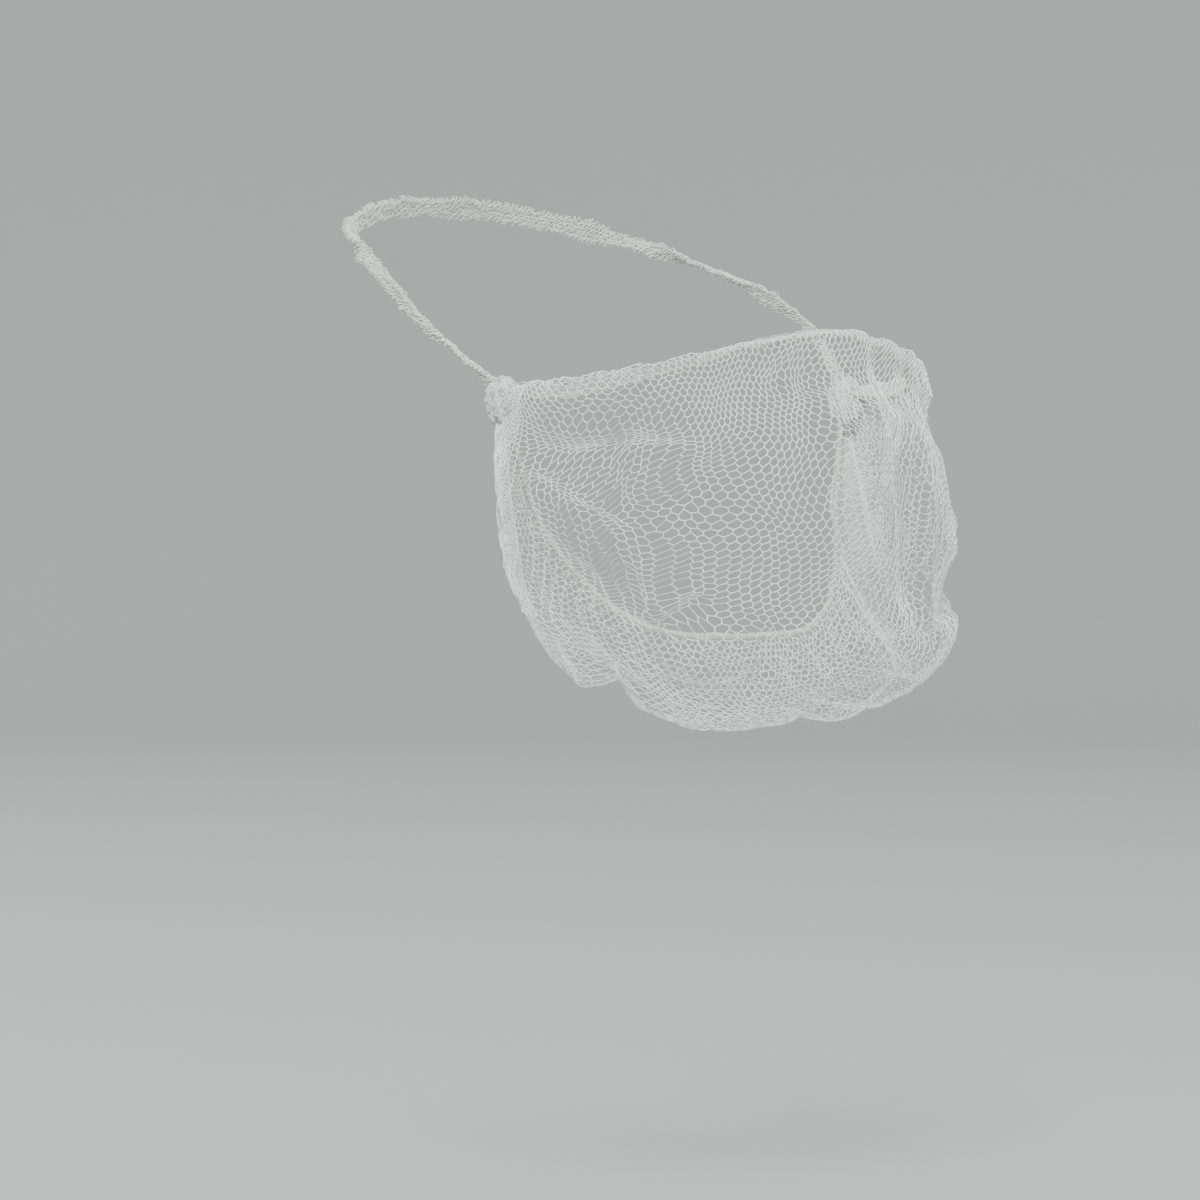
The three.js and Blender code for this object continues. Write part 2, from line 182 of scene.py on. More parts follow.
# Height in metres of the net that stands above the top elastic, from its right end at 0 to its left end at 1
RUFFLE_HEIGHTS = (
    (0.0, 0.003), (0.03, 0.005), (0.12, 0.007), (0.19, 0.0054), (0.26, 0.0025), (0.6, 0.0022), (0.85, 0.0028),
    (0.96, 0.0042), (1.0, 0.003),
)

# The head band's course from a corner to the middle of its back, as shares of its half span, back and rise
BAND_COURSE = (
    (0.95, -0.08, 0.2),
    (1.0, 0.07, 0.37),
    (0.965, 0.23, 0.52),
    (0.89, 0.41, 0.65),
    (0.74, 0.68, 0.8),
    (0.53, 0.865, 0.91),
    (0.26, 0.965, 0.98),
)


def length_prop(name, default, description):
    """A length that the panel shows in the scene's own unit."""
    return bpy.props.FloatProperty(
        name=name, description=description, default=default, min=0.0, precision=5, unit="LENGTH"
    )


def share_prop(name, default, description):
    """A plain number without a unit."""
    return bpy.props.FloatProperty(name=name, description=description, default=default, precision=3)


def angle_prop(name, default, description):
    """An angle given in degrees, which the panel shows in the scene's own unit."""
    return bpy.props.FloatProperty(
        name=name, description=description, default=math.radians(default), unit="ROTATION"
    )


def count_prop(name, default, description):
    """A whole number of repeats."""
    return bpy.props.IntProperty(name=name, description=description, default=default, min=1)


def colour_prop(name, default, description):
    """A colour in linear values."""
    return bpy.props.FloatVectorProperty(
        name=name, description=description, default=default, subtype="COLOR", size=3, min=0.0, max=1.0
    )


class BEARDNET_PG_pouch(bpy.types.PropertyGroup):
    """Edges, fullness, folds and gathers of the net."""

    corner_half_span: length_prop("Corner half span", 0.070, "Mid plane to each corner")
    corner_forward: length_prop("Corner forward", 0.023, "Origin forward to the corner")
    corner_rise: length_prop("Corner rise", 0.001, "Origin up to the corner")
    bridge_forward: length_prop("Bridge forward", 0.098, "Origin forward to the middle of the top edge")
    bridge_rise: length_prop("Bridge rise", 0.019, "Origin up to the middle of the top edge")
    cheek_rim_inset: length_prop("Cheek rim inset", 0.002, "Top edge, nearer the mid plane than the corner")
    cheek_rim_forward: length_prop("Cheek rim forward", 0.042, "Origin forward to the top edge at the side")
    cheek_rim_drop: length_prop("Cheek rim drop", 0.001, "Origin down to the top edge at the side")
    jaw_rim_inset: length_prop("Jaw rim inset", 0.009, "Jaw edge, nearer the mid plane than the corner")
    jaw_rim_forward: length_prop("Jaw rim forward", 0.028, "Origin forward to the jaw edge at the side")
    jaw_rim_drop: length_prop("Jaw rim drop", 0.041, "Origin down to the jaw edge at the side")
    chin_rim_forward: length_prop("Chin rim forward", 0.060, "Origin forward to the middle of the jaw edge")
    chin_rim_drop: length_prop("Chin rim drop", 0.076, "Origin down to the middle of the jaw edge")
    side_puff: length_prop("Side puff", 0.011, "How far the net stands out at the side")
    front_puff: length_prop("Front puff", 0.018, "How far the net stands out in front")
    bag_hang: length_prop("Bag hang", 0.028, "How far the net hangs below the jaw edge")
    nose_tent: length_prop("Nose tent", 0.012, "How far the net is pushed out in the middle")
    nose_half_width: length_prop("Nose half width", 0.017, "Half width of the pushed out part")
    fold_width: length_prop("Fold width", 0.006, "Width of a fold")
    fold_depth: length_prop("Fold depth", 0.003, "Depth of a fold")
    crease_depth: length_prop("Crease depth", 0.0014, "Depth of the sharp crease along the middle of a fold")
    gather_depth: length_prop("Gather depth", 0.0015, "Depth of the gathers along the elastics")
    gather_ramp: length_prop("Gather ramp", 0.007, "The gathers grow over this much")
    gather_fade: length_prop("Gather fade", 0.016, "The gathers die away over this much")
    top_gathers: count_prop("Top gathers", 16, "Gathers along the top elastic")
    jaw_gathers: count_prop("Jaw gathers", 15, "Gathers along the jaw elastic")


class BEARDNET_PG_net(bpy.types.PropertyGroup):
    """The hexagonal net itself."""

    columns: count_prop("Columns", 123, "Cells from corner to corner")
    rows: count_prop("Rows", 88, "Cells from the top edge to the jaw edge")
    cell_width: length_prop("Cell width", 0.0034, "Width of a cell in the flat net")
    cell_pitch: length_prop("Row pitch", 0.0023, "Height of a row of cells in the flat net")
    cell_wave: length_prop("Cell wave", 0.0011, "Height of a row's zigzag in the flat net")
    yarn: length_prop("Yarn", 0.00039, "Thickness of the net's yarn")
    crowding: share_prop("Crowding", 0.62, "How strongly the cells crowd into the folds")
    drift: length_prop("Drift", 0.0016, "How far cells wander from even spacing")
    jitter: length_prop("Jitter", 0.00009, "Unevenness of single knots")
    crinkle: length_prop("Crinkle", 0.0005, "Height of the small creases")
    colour: colour_prop("Net yarn", (0.86, 0.89, 0.88), "Colour of the net's yarn")


class BEARDNET_PG_elastic(bpy.types.PropertyGroup):
    """The covered elastics along the two edges."""

    core: length_prop("Core", 0.0016, "Thickness of the elastic under its cover")
    cover_yarn: length_prop("Cover yarn", 0.00042, "Thickness of the yarn wound round it")
    cover_pitch: length_prop("Cover pitch", 0.0011, "Advance of the cover yarn in one turn")
    stitch_yarn: length_prop("Stitch yarn", 0.00034, "Thickness of the thread that holds the net's edge")
    stitch_pitch: length_prop("Stitch pitch", 0.0031, "Advance of that thread in one turn")
    stitch_reach: length_prop("Stitch reach", 0.00115, "Distance of that thread from the elastic's middle")
    colour: colour_prop("Elastic", (0.66, 0.69, 0.62), "Colour of the covered elastic")


class BEARDNET_PG_band(bpy.types.PropertyGroup):
    """The knitted head band."""

    half_span: length_prop("Half span", 0.079, "Mid plane to the band at its widest")
    back: length_prop("Back", 0.107, "Origin back to the middle of the band")
    rise: length_prop("Rise", 0.063, "Origin up to the middle of the band")
    width_at_corner: length_prop("Width at corner", 0.003, "Width where the band is drawn together")
    width_at_back: length_prop("Width at back", 0.0065, "Width where the band lies flat")
    thickness: length_prop("Thickness", 0.0018, "Thickness of the band")
    yarn: length_prop("Yarn", 0.00042, "Thickness of the knitted yarn")
    wales: count_prop("Wales", 7, "Chains of loops side by side")
    loop_pitch: length_prop("Loop pitch", 0.0015, "Length of one loop")
    colour: colour_prop("Band yarn", (0.70, 0.74, 0.66), "Colour of the band's yarn")


class BEARDNET_PG_corner(bpy.types.PropertyGroup):
    """The bunched net at each corner."""

    length: length_prop("Length", 0.016, "Length of the bunch")
    width: length_prop("Width", 0.013, "Width of the bunch")
    thickness: length_prop("Thickness", 0.008, "Thickness of the bunch")
    drop: length_prop("Drop", 0.0035, "Corner down to the middle of the bunch")
    lean: angle_prop("Lean", 18, "How far its lower end leans forward")
    strands: count_prop("Strands", 96, "Drawn in strands of net")
    yarn: length_prop("Yarn", 0.00046, "Thickness of the drawn in strands")


class BEARDNET_PG_stage(bpy.types.PropertyGroup):
    """The camera's view, the floor and the wall."""

    azimuth: angle_prop("Azimuth", -38, "Side that the camera sees")
    elevation: angle_prop("Elevation", 2, "Height of the camera")
    distance: length_prop("Distance", 2.0, "Camera to the origin")
    frame_width: length_prop("Frame width", 0.3871, "Width of what the camera sees at the origin")
    aim_right: length_prop("Aim right", 0.0103, "The origin lies this far right of the picture's middle")
    aim_up: length_prop("Aim up", 0.0661, "The origin lies this far above the picture's middle")
    floor_drop: length_prop("Floor drop", 0.26, "Origin down to the floor")
    floor_radius: length_prop("Floor radius", 2.6, "Flat part of the floor")
    cove_radius: length_prop("Cove radius", 1.2, "Curve from floor to wall")
    wall_height: length_prop("Wall height", 3.0, "Height of the wall")
    floor_colour: colour_prop("Floor", (0.37, 0.382, 0.38), "Colour of floor and wall")


# The pouch's shape, as in the part's source


def unit(vectors):
    """The vectors at length 1."""
    least = 1e-12
    return vectors / np.maximum(np.linalg.norm(vectors, axis=-1, keepdims=True), least)


def read_off(at, stations, rows):
    """Points or vectors at other stations along their line."""
    return np.stack([np.interp(at, stations, rows[:, axis]) for axis in range(3)], axis=1)


def pouch_scale(p):
    """Half width, reach and drop of the pouch, and the corner."""
    half = p.corner_half_span + p.side_puff
    reach = p.bridge_forward + p.front_puff
    drop = p.chin_rim_drop + p.bag_hang
    corner = np.array([-p.corner_half_span, -p.corner_forward, p.corner_rise])
    return half, reach, drop, corner


def course_table(p):
    """All courses as dicts, the two edges first and last."""
    half, reach, drop, _ = pouch_scale(p)
    top = (
        (p.corner_half_span - p.cheek_rim_inset) / half,
        p.cheek_rim_forward / reach,
        p.bridge_forward / reach - TOP_SLACK,
        -p.cheek_rim_drop / drop,
        p.bridge_rise / drop,
        *TOP_BEND,
    )
    jaw = (
        (p.corner_half_span - p.jaw_rim_inset) / half,
        p.jaw_rim_forward / reach,
        p.chin_rim_forward / reach,
        -p.jaw_rim_drop / drop,
        -p.chin_rim_drop / drop,
        *JAW_BEND,
    )
    return [dict(zip(COURSE_KEYS, row)) for row in (top, *MIDDLE_COURSES, jaw)]


def course_points(p, course, u):
    """Points of one course at the stations u."""
    half, reach, drop, corner = pouch_scale(p)
    v = np.minimum(u, 2 - u)
    turn = math.pi / 2 * v**COURSE_EASE
    cosine = np.clip(np.cos(turn), 0, 1)
    sine = np.sin(turn)
    x = half * course["half"] * cosine ** course["across"]
    tent = p.nose_tent * course["peak"] * np.exp(-((x / p.nose_half_width) ** 2))
    y = -reach * (course["back"] + (course["reach"] - course["back"]) * sine ** course["forward"]) - tent
    z = drop * (course["front"] + (course["side"] - course["front"]) * cosine ** course["fall"])
    pull = (1 - (1 - v) ** CORNER_PULL)[:, None]
    points = corner + pull * (np.stack([-x, y, z], axis=1) - corner)
    points[:, 0] *= np.where(u > 1, -1.0, 1.0)
    return points


def smooth_through(rows, steps=14):
    """Centripetal curve through the rows of points, with steps points between two rows."""
    least = 1e-9
    first, last = 2 * rows[:1] - rows[1:2], 2 * rows[-1:] - rows[-2:-1]
    knots = np.concatenate([first, rows, last])
    gaps = np.sqrt(np.maximum(np.linalg.norm(np.diff(knots, axis=0), axis=2), least))
    at = np.concatenate([np.zeros((1, gaps.shape[1])), np.cumsum(gaps, axis=0)])

    def between(a, b, ta, tb, x):
        return a * ((tb - x) / (tb - ta))[:, None] + b * ((x - ta) / (tb - ta))[:, None]

    out = []
    for i in range(len(rows) - 1):
        t0, t1, t2, t3 = at[i : i + 4]
        p0, p1, p2, p3 = knots[i : i + 4]
        for j in range(steps):
            x = t1 + (t2 - t1) * j / steps
            a1 = between(p0, p1, t0, t1, x)
            a2 = between(p1, p2, t1, t2, x)
            a3 = between(p2, p3, t2, t3, x)
            b1 = between(a1, a2, t0, t2, x)
            b2 = between(a2, a3, t1, t3, x)
            out.append(between(b1, b2, t1, t2, x))
    out.append(rows[-1])
    return np.array(out)


def away_from_fold(fold, across, down):
    """Offset in the flat net from the nearest point of a fold's line, and a share that is 1 in the line's
    middle and 0 at its ends. across and down are in metres."""
    start = np.array([fold["u1"] * ARC_HALF_WIDTH, fold["t1"] * ARC_HEIGHT])
    run = np.array([fold["u2"] * ARC_HALF_WIDTH, fold["t2"] * ARC_HEIGHT]) - start
    dx, dy = across - start[0], down - start[1]
    share = np.clip((dx * run[0] + dy * run[1]) / run.dot(run), 0, 1)
    return dx - share * run[0], dy - share * run[1], 4 * share * (1 - share)


def liveliness(u, t):
    """How much of its gathers, drift and crinkle the net keeps at each place, from 0 to 1."""
    kept = np.ones(np.broadcast(u, t).shape)
    for row in STILL_PLACES:
        place = dict(zip(STILL_KEYS, row))
        apart = ((u - place["u"]) / place["reach_u"]) ** 2 + ((t - place["t"]) / place["reach_t"]) ** 2
        kept *= 1 - place["share"] * np.exp(-apart)
    return kept


def surface_grid(p, columns=260, rows=200, edge=0.0009):
    """Middle of the net as a grid of points over u and even shares of t, with u and t. edge is how far it
    stops short of the middle of each elastic."""
    first, station_ease = 0.02, 1.2
    crease_width = 0.3
    fold_start, fold_growth, gather_start = 0.0012, 0.012, 0.0015
    full_length = 0.120
    share = np.linspace(0, 2, columns + 1)
    v = first + (1 - first) * np.minimum(share, 2 - share) ** station_ease
    u = np.where(share <= 1, v, 2 - v)
    table = course_table(p)
    dense = smooth_through(np.array([course_points(p, c, u) for c in table]))
    run = np.linalg.norm(np.diff(dense, axis=0), axis=2)
    along = np.concatenate([np.zeros((1, len(u))), np.cumsum(run, axis=0)])
    length = along[-1]
    t = np.linspace(0, 1, rows + 1)
    grid = np.empty((len(u), len(t), 3))
    for i in range(len(u)):
        trimmed = edge + t * (length[i] - 2 * edge)
        grid[i] = read_off(trimmed, along[:, i], dense[:, i])
    lift = np.zeros((len(u), len(t)))
    across, down = u[:, None] * ARC_HALF_WIDTH, t[None, :] * ARC_HEIGHT
    for row in FOLDS:
        fold = dict(zip(FOLD_KEYS, row))
        dx, dy, middle = away_from_fold(fold, across, down)
        width = p.fold_width * fold["width"]
        apart = dx * dx + dy * dy
        lift += p.fold_depth * fold["depth"] * np.exp(-apart / width**2)
        lift += p.crease_depth * fold["depth"] * middle * np.exp(-np.sqrt(apart) / (crease_width * width))
    from_top = t[None, :] * length[:, None]
    from_jaw = (1 - t[None, :]) * length[:, None]
    lift *= np.clip((np.minimum(from_top, from_jaw) - fold_start) / fold_growth, 0, 1)
    lively = liveliness(u[:, None], t[None, :])
    for distance, count in ((from_top, p.top_gathers), (from_jaw, p.jaw_gathers)):
        grown = np.clip((distance - gather_start) / p.gather_ramp, 0, 1)
        for row in GATHER_WAVES:
            wave = dict(zip(GATHER_KEYS, row))
            along_edge = np.sin(math.pi * wave["count"] * count * u + wave["sway"] * np.sin(wave["rate"] * u))
            faded = grown * np.exp(-distance / (wave["fade"] * p.gather_fade))
            lift += wave["depth"] * p.gather_depth * lively * faded * along_edge[:, None]
    settle = np.clip(length / full_length, 0, 1)[:, None] ** 2
    grid += outward(grid) * (lift * settle)[..., None]
    return u, t, grid


def outward(grid):
    """Unit normals of a grid of points, away from the pouch's hollow."""
    return unit(np.cross(np.gradient(grid, axis=1), np.gradient(grid, axis=0)))


def sample(grid, i, j):
    """The grid at fractional places i and j."""
    inside = 1.001  # a little over one step, so that the next row and column exist
    i = np.clip(i, 0, grid.shape[0] - inside)
    j = np.clip(j, 0, grid.shape[1] - inside)
    i0, j0 = i.astype(int), j.astype(int)
    fi, fj = (i - i0)[:, None], (j - j0)[:, None]
    top = grid[i0, j0] * (1 - fi) + grid[i0 + 1, j0] * fi
    low = grid[i0, j0 + 1] * (1 - fi) + grid[i0 + 1, j0 + 1] * fi
    return top * (1 - fj) + low * fj


def soft_noise(rng, x, y, scale):
    """Smooth noise over flat places in metres, about -1 to 1, from a few waves in random directions."""
    octaves, waves, shortest, longest, levelling = 2, 5, 0.7, 1.3, 4
    total = np.zeros_like(x)
    for octave in range(octaves):
        for _ in range(waves):
            angle, phase = rng.uniform(0, 2 * math.pi, 2)
            wave = 2 * math.pi / scale * 2**octave * rng.uniform(shortest, longest)
            total += np.sin(wave * (x * math.cos(angle) + y * math.sin(angle)) + phase) / 2**octave
    return total / levelling


# Meshes, materials and node trees


def new_object(name, mesh):
    """Links a mesh to the scene under a name."""
    piece = bpy.data.objects.new(name, mesh)
    bpy.context.scene.collection.objects.link(piece)
    return piece


def mesh_of(name, points, edges=(), faces=()):
    """A mesh from points, edges and faces."""
    mesh = bpy.data.meshes.new(name)
    mesh.from_pydata([tuple(q) for q in points], list(edges), list(faces))
    mesh.update()
    return mesh


def flattened(piece, name):
    """The piece with its modifiers applied, as a new plain object, and the old one removed."""
    depsgraph = bpy.context.evaluated_depsgraph_get()
    depsgraph.update()
    mesh = bpy.data.meshes.new_from_object(piece.evaluated_get(depsgraph), depsgraph=depsgraph)
    mesh.name = name
    bpy.data.objects.remove(piece)
    made = new_object(name, mesh)
    if not len(mesh.polygons):
        raise RuntimeError(f"{name} came out empty")
    return made


def finish_piece(piece, node, material):
    """Gives a piece its material and its body, and hides the part of model.glb that it stands for."""
    piece.data.materials.clear()
    piece.data.materials.append(material)
    for polygon in piece.data.polygons:
        polygon.use_smooth = True
    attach(piece, "root")
    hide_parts(node)


class Shader:
    """Short calls for one material's nodes."""

    def __init__(self, name):
        self.material = bpy.data.materials.new(name)
        self.material.use_nodes = True
        self.tree = self.material.node_tree
        self.surface = self.tree.nodes["Principled BSDF"]
        self.place = self.put("ShaderNodeTexCoord").outputs["Object"]

    def put(self, kind, **values):
        """A node with its sockets set by name."""
        node = self.tree.nodes.new(kind)
        for key, value in values.items():
            node.inputs[key.replace("_", " ")].default_value = value
        return node

    def link(self, start, end):
        """Joins two sockets."""
        self.tree.links.new(start, end)

    def noise(self, scale, detail=3.0):
        """Noise over the piece, from 0 to 1."""
        node = self.put("ShaderNodeTexNoise", Scale=scale, Detail=detail)
        self.link(self.place, node.inputs["Vector"])
        return node.outputs[0]

    def ramp(self, factor, stops):
        """A colour ramp over a factor."""
        node = self.tree.nodes.new("ShaderNodeValToRGB")
        elements = node.color_ramp.elements
        while len(elements) < len(stops):
            elements.new(0.5)
        for element, (position, colour) in zip(elements, stops):
            element.position = position
            element.color = (*colour, 1.0)
        self.link(factor, node.inputs["Fac"])
        return node.outputs["Color"]


def tinted(colour, factor):
    """The colour, lighter or darker by a factor."""
    return tuple(min(1.0, c * factor) for c in colour)


def yarn_material(name, colour, roughness, twist_scale, depth):
    """Nylon yarn: an uneven off-white with fine fibre relief and a soft sheen."""
    blotch_scale, darker, lighter = 70.0, 0.93, 1.06
    gloss_scale, smoother, rougher = 900.0, 0.08, 0.1
    s = Shader(name)
    tone = s.ramp(s.noise(blotch_scale), ((0.3, tinted(colour, darker)), (0.7, tinted(colour, lighter))))
    s.link(tone, s.surface.inputs["Base Color"])
    rough = s.tree.nodes.new("ShaderNodeMapRange")
    rough.inputs["To Min"].default_value = roughness - smoother
    rough.inputs["To Max"].default_value = roughness + rougher
    s.link(s.noise(gloss_scale), rough.inputs["Value"])
    s.link(rough.outputs["Result"], s.surface.inputs["Roughness"])
    fibre = s.put("ShaderNodeBump", Strength=0.35, Distance=depth)
    s.link(s.noise(twist_scale, detail=4.0), fibre.inputs["Height"])
    s.link(fibre.outputs["Normal"], s.surface.inputs["Normal"])
    s.surface.inputs["Sheen Weight"].default_value = 0.25
    s.surface.inputs["Sheen Roughness"].default_value = 0.5
    s.surface.inputs["Specular IOR Level"].default_value = 0.4
    return s.material


class Tree:
    """Short calls for one Geometry Nodes tree with named inputs."""

    def __init__(self, name, inputs):
        self.tree = bpy.data.node_groups.new(name, "GeometryNodeTree")
        face = self.tree.interface
        face.new_socket("Geometry", in_out="INPUT", socket_type="NodeSocketGeometry")
        self.ids = {}
        for label, kind, default in inputs:
            socket = face.new_socket(label, in_out="INPUT", socket_type="NodeSocket" + kind)
            socket.default_value = default
            self.ids[label] = socket.identifier
        face.new_socket("Geometry", in_out="OUTPUT", socket_type="NodeSocketGeometry")
        self.entry = self.tree.nodes.new("NodeGroupInput")
        self.exit = self.tree.nodes.new("NodeGroupOutput")

    def given(self, label):
        """The value of a named input."""
        return self.entry.outputs[label]

    def put(self, kind, inputs=None, **settings):
        """A node with settings, and inputs by name or number that are values or sockets."""
        node = self.tree.nodes.new(kind)
        for key, value in settings.items():
            setattr(node, key, value)
        for key, value in (inputs or {}).items():
            if isinstance(value, bpy.types.NodeSocket):
                self.tree.links.new(value, node.inputs[key])
            else:
                node.inputs[key].default_value = value
        return node

    def math(self, operation, a, b=0.0):
        """A plain sum, product or function."""
        return self.put("ShaderNodeMath", {0: a, 1: b}, operation=operation).outputs[0]

    def times(self, vector, factor):
        """A vector scaled by a number."""
        node = self.put("ShaderNodeVectorMath", {0: vector}, operation="SCALE")
        if isinstance(factor, bpy.types.NodeSocket):
            self.tree.links.new(factor, node.inputs["Scale"])
        else:
            node.inputs["Scale"].default_value = factor
        return node.outputs["Vector"]

    def plus(self, a, b):
        """The sum of two vectors."""
        return self.put("ShaderNodeVectorMath", {0: a, 1: b}, operation="ADD").outputs["Vector"]

    def cross(self, a, b):
        """A vector square to two others."""
        node = self.put("ShaderNodeVectorMath", {0: a, 1: b}, operation="CROSS_PRODUCT")
        return node.outputs["Vector"]

    def attribute(self, name, kind="FLOAT_VECTOR"):
        """A named attribute of the input's points."""
        node = self.put("GeometryNodeInputNamedAttribute", {"Name": name}, data_type=kind)
        return node.outputs["Attribute"]

    def curve(self):
        """The input's line as a curve."""
        return self.put("GeometryNodeMeshToCurve", {"Mesh": self.given("Geometry")}).outputs["Curve"]

    def resample(self, curve, count):
        """The curve with count points."""
        node = self.put("GeometryNodeResampleCurve", {"Curve": curve, "Count": count}, mode="COUNT")
        return node.outputs["Curve"]

    def move(self, geometry, offset):
        """The geometry with each point moved."""
        node = self.put("GeometryNodeSetPosition", {"Geometry": geometry, "Offset": offset})
        return node.outputs["Geometry"]

    def tube(self, curve, radius, sides):
        """A closed tube along a curve."""
        size = {"Resolution": sides, "Radius": radius}
        ring = self.put("GeometryNodeCurvePrimitiveCircle", size, mode="RADIUS")
        node = self.put(
            "GeometryNodeCurveToMesh",
            {"Curve": curve, "Profile Curve": ring.outputs["Curve"], "Fill Caps": True},
        )
        return node.outputs["Mesh"]

    def wander(self, scale, reach, copy=0.0):
        """A small random vector that changes smoothly along the piece, and from copy to copy."""
        copy_step = 0.37
        place = self.put("GeometryNodeInputPosition").outputs[0]
        apart = self.math("MULTIPLY", copy, copy_step)
        shift = self.put("ShaderNodeCombineXYZ", {0: self.given("Seed"), 1: apart}).outputs[0]
        seeded = self.plus(place, shift)
        noise = self.put("ShaderNodeTexNoise", {"Vector": seeded, "Scale": scale, "Detail": 1.0})
        centred = self.plus(noise.outputs["Color"], (-0.5, -0.5, -0.5))
        return self.times(centred, reach)

    def end(self, parts, material):
        """Joins the parts, realizes them and gives them the material."""
        joined = self.tree.nodes.new("GeometryNodeJoinGeometry")
        for part in parts:
            self.tree.links.new(part, joined.inputs[0])
        real = self.put("GeometryNodeRealizeInstances", {"Geometry": joined.outputs[0]})
        painted = self.put("GeometryNodeSetMaterial", {"Geometry": real.outputs[0], "Material": material})
        self.tree.links.new(painted.outputs[0], self.exit.inputs[0])

    def run(self, source, name, values):
        """Applies the tree to a line or to cells, with values for its inputs, and returns the plain piece."""
        modifier = source.modifiers.new(name, "NODES")
        modifier.node_group = self.tree
        for label, value in values.items():
            modifier[self.ids[label]] = value
        return flattened(source, name)


def path_object(name, points, vectors=None):
    """A line of points as a mesh, with vectors or numbers kept on its points."""
    mesh = mesh_of(name, points, edges=[(i, i + 1) for i in range(len(points) - 1)])
    for key, values in (vectors or {}).items():
        values = np.asarray(values, np.float32)
        if values.ndim == 2:
            mesh.attributes.new(key, "FLOAT_VECTOR", "POINT").data.foreach_set("vector", values.ravel())
        else:
            mesh.attributes.new(key, "FLOAT", "POINT").data.foreach_set("value", values)
    return new_object(name, mesh)


def even_line(points, count):
    """A line of points with even spacing, and its length."""
    run = np.concatenate([[0], np.cumsum(np.linalg.norm(np.diff(points, axis=0), axis=1))])
    at = np.linspace(0, run[-1], count)
    return read_off(at, run, points), run[-1]


# The net


def lattice_places(columns, rows, wave_share):
    """Places of the knots of a hexagonal net, from 0 to 1, and its cells. A row has two knots to a column."""
    last = 2 * columns
    row, knot = np.meshgrid(np.arange(rows + 1), np.arange(last + 1), indexing="ij")
    lower = (row + knot) % 2 == 0
    across = knot.ravel() / last
    down = ((row + np.where(lower, 0.5, -0.5) * wave_share) / rows).ravel()
    cells = []
    for r in range(rows):
        for k in range(r % 2, last - 1, 2):
            top, low = r * (last + 1) + k, (r + 1) * (last + 1) + k
            cells.append((low, low + 1, low + 2, top + 2, top + 1, top))
    return across, down, cells


def woven_tree(material):
    """Turns each cell into a hole with yarn round it, with a front, a back and a side along the net's rim.
    Widest is how much of the way to a small cell's middle the yarn may take."""
    g = Tree("woven_net", (("Yarn", "Float", 0.00046), ("Widest", "Float", 0.42)))
    half = g.math("MULTIPLY", g.given("Yarn"), 0.5)
    corner_inset = 1.155  # how much further a hexagon's corner moves in than its side, 1 / cos(30 degrees)
    place = g.put("GeometryNodeInputPosition").outputs[0]
    centres = g.put("GeometryNodeCaptureAttribute", {"Geometry": g.given("Geometry")}, domain="FACE")
    centres.capture_items.new("VECTOR", "centre")
    g.tree.links.new(place, centres.inputs["centre"])
    facing = g.put("GeometryNodeCaptureAttribute", {"Geometry": centres.outputs["Geometry"]}, domain="POINT")
    facing.capture_items.new("VECTOR", "facing")
    g.tree.links.new(g.put("GeometryNodeInputNormal").outputs[0], facing.inputs["facing"])
    cut = g.put(
        "GeometryNodeExtrudeMesh",
        {"Mesh": facing.outputs["Geometry"], "Offset Scale": 0.0, "Individual": True},
        mode="FACES",
    )
    hole = cut.outputs["Top"]
    around = g.put("FunctionNodeBooleanMath", {0: hole}, operation="NOT").outputs[0]
    to_centre = g.plus(centres.outputs["centre"], g.times(place, -1.0))
    distance = g.put("ShaderNodeVectorMath", {0: to_centre}, operation="LENGTH").outputs["Value"]
    widest = g.math("MULTIPLY", distance, g.given("Widest"))
    inset = g.math("MINIMUM", g.math("MULTIPLY", half, corner_inset), widest)
    inward = g.times(to_centre, g.math("DIVIDE", inset, distance))
    sides = []
    for sign in (1.0, -1.0):
        raised = g.put(
            "GeometryNodeSetPosition",
            {
                "Geometry": cut.outputs["Mesh"],
                "Selection": around,
                "Offset": g.times(facing.outputs["facing"], g.math("MULTIPLY", half, sign)),
            },
        )
        narrowed = g.put(
            "GeometryNodeSetPosition", {"Geometry": raised.outputs[0], "Selection": hole, "Offset": inward}
        )
        walled = narrowed.outputs[0]
        if sign > 0:
            faces = g.put("GeometryNodeInputMeshEdgeNeighbors").outputs["Face Count"]
            rim = g.put("FunctionNodeCompare", {2: faces, 3: 1}, data_type="INT", operation="EQUAL")
            wall = g.put(
                "GeometryNodeExtrudeMesh",
                {"Mesh": walled, "Selection": rim.outputs[0], "Offset Scale": 0.0},
                mode="EDGES",
            )
            to_back = g.times(facing.outputs["facing"], g.math("MULTIPLY", half, -2.0))
            walled = g.put(
                "GeometryNodeSetPosition",
                {"Geometry": wall.outputs["Mesh"], "Selection": wall.outputs["Top"], "Offset": to_back},
            ).outputs[0]
        opened = g.put(
            "GeometryNodeDeleteGeometry", {"Geometry": walled, "Selection": hole}, domain="FACE"
        ).outputs[0]
        if sign < 0:
            opened = g.put("GeometryNodeFlipFaces", {"Mesh": opened}).outputs[0]
        sides.append(opened)
    joined = g.put("GeometryNodeJoinGeometry")
    for side in sides:
        g.tree.links.new(side, joined.inputs[0])
    merged = g.put("GeometryNodeMergeByDistance", {"Geometry": joined.outputs[0], "Distance": 1e-7})
    g.end([merged.outputs[0]], material)
    return g


def woven(name, tree, points, cells, yarn):
    """A net of yarn along the edges of the cells, as one mesh."""
    used, cells = np.unique(np.array(cells), return_inverse=True)
    mesh = mesh_of(name + "_cells", points[used], faces=cells.reshape(-1, 6).tolist())
    return tree.run(new_object(name + "_cells", mesh), name, {"Yarn": yarn})


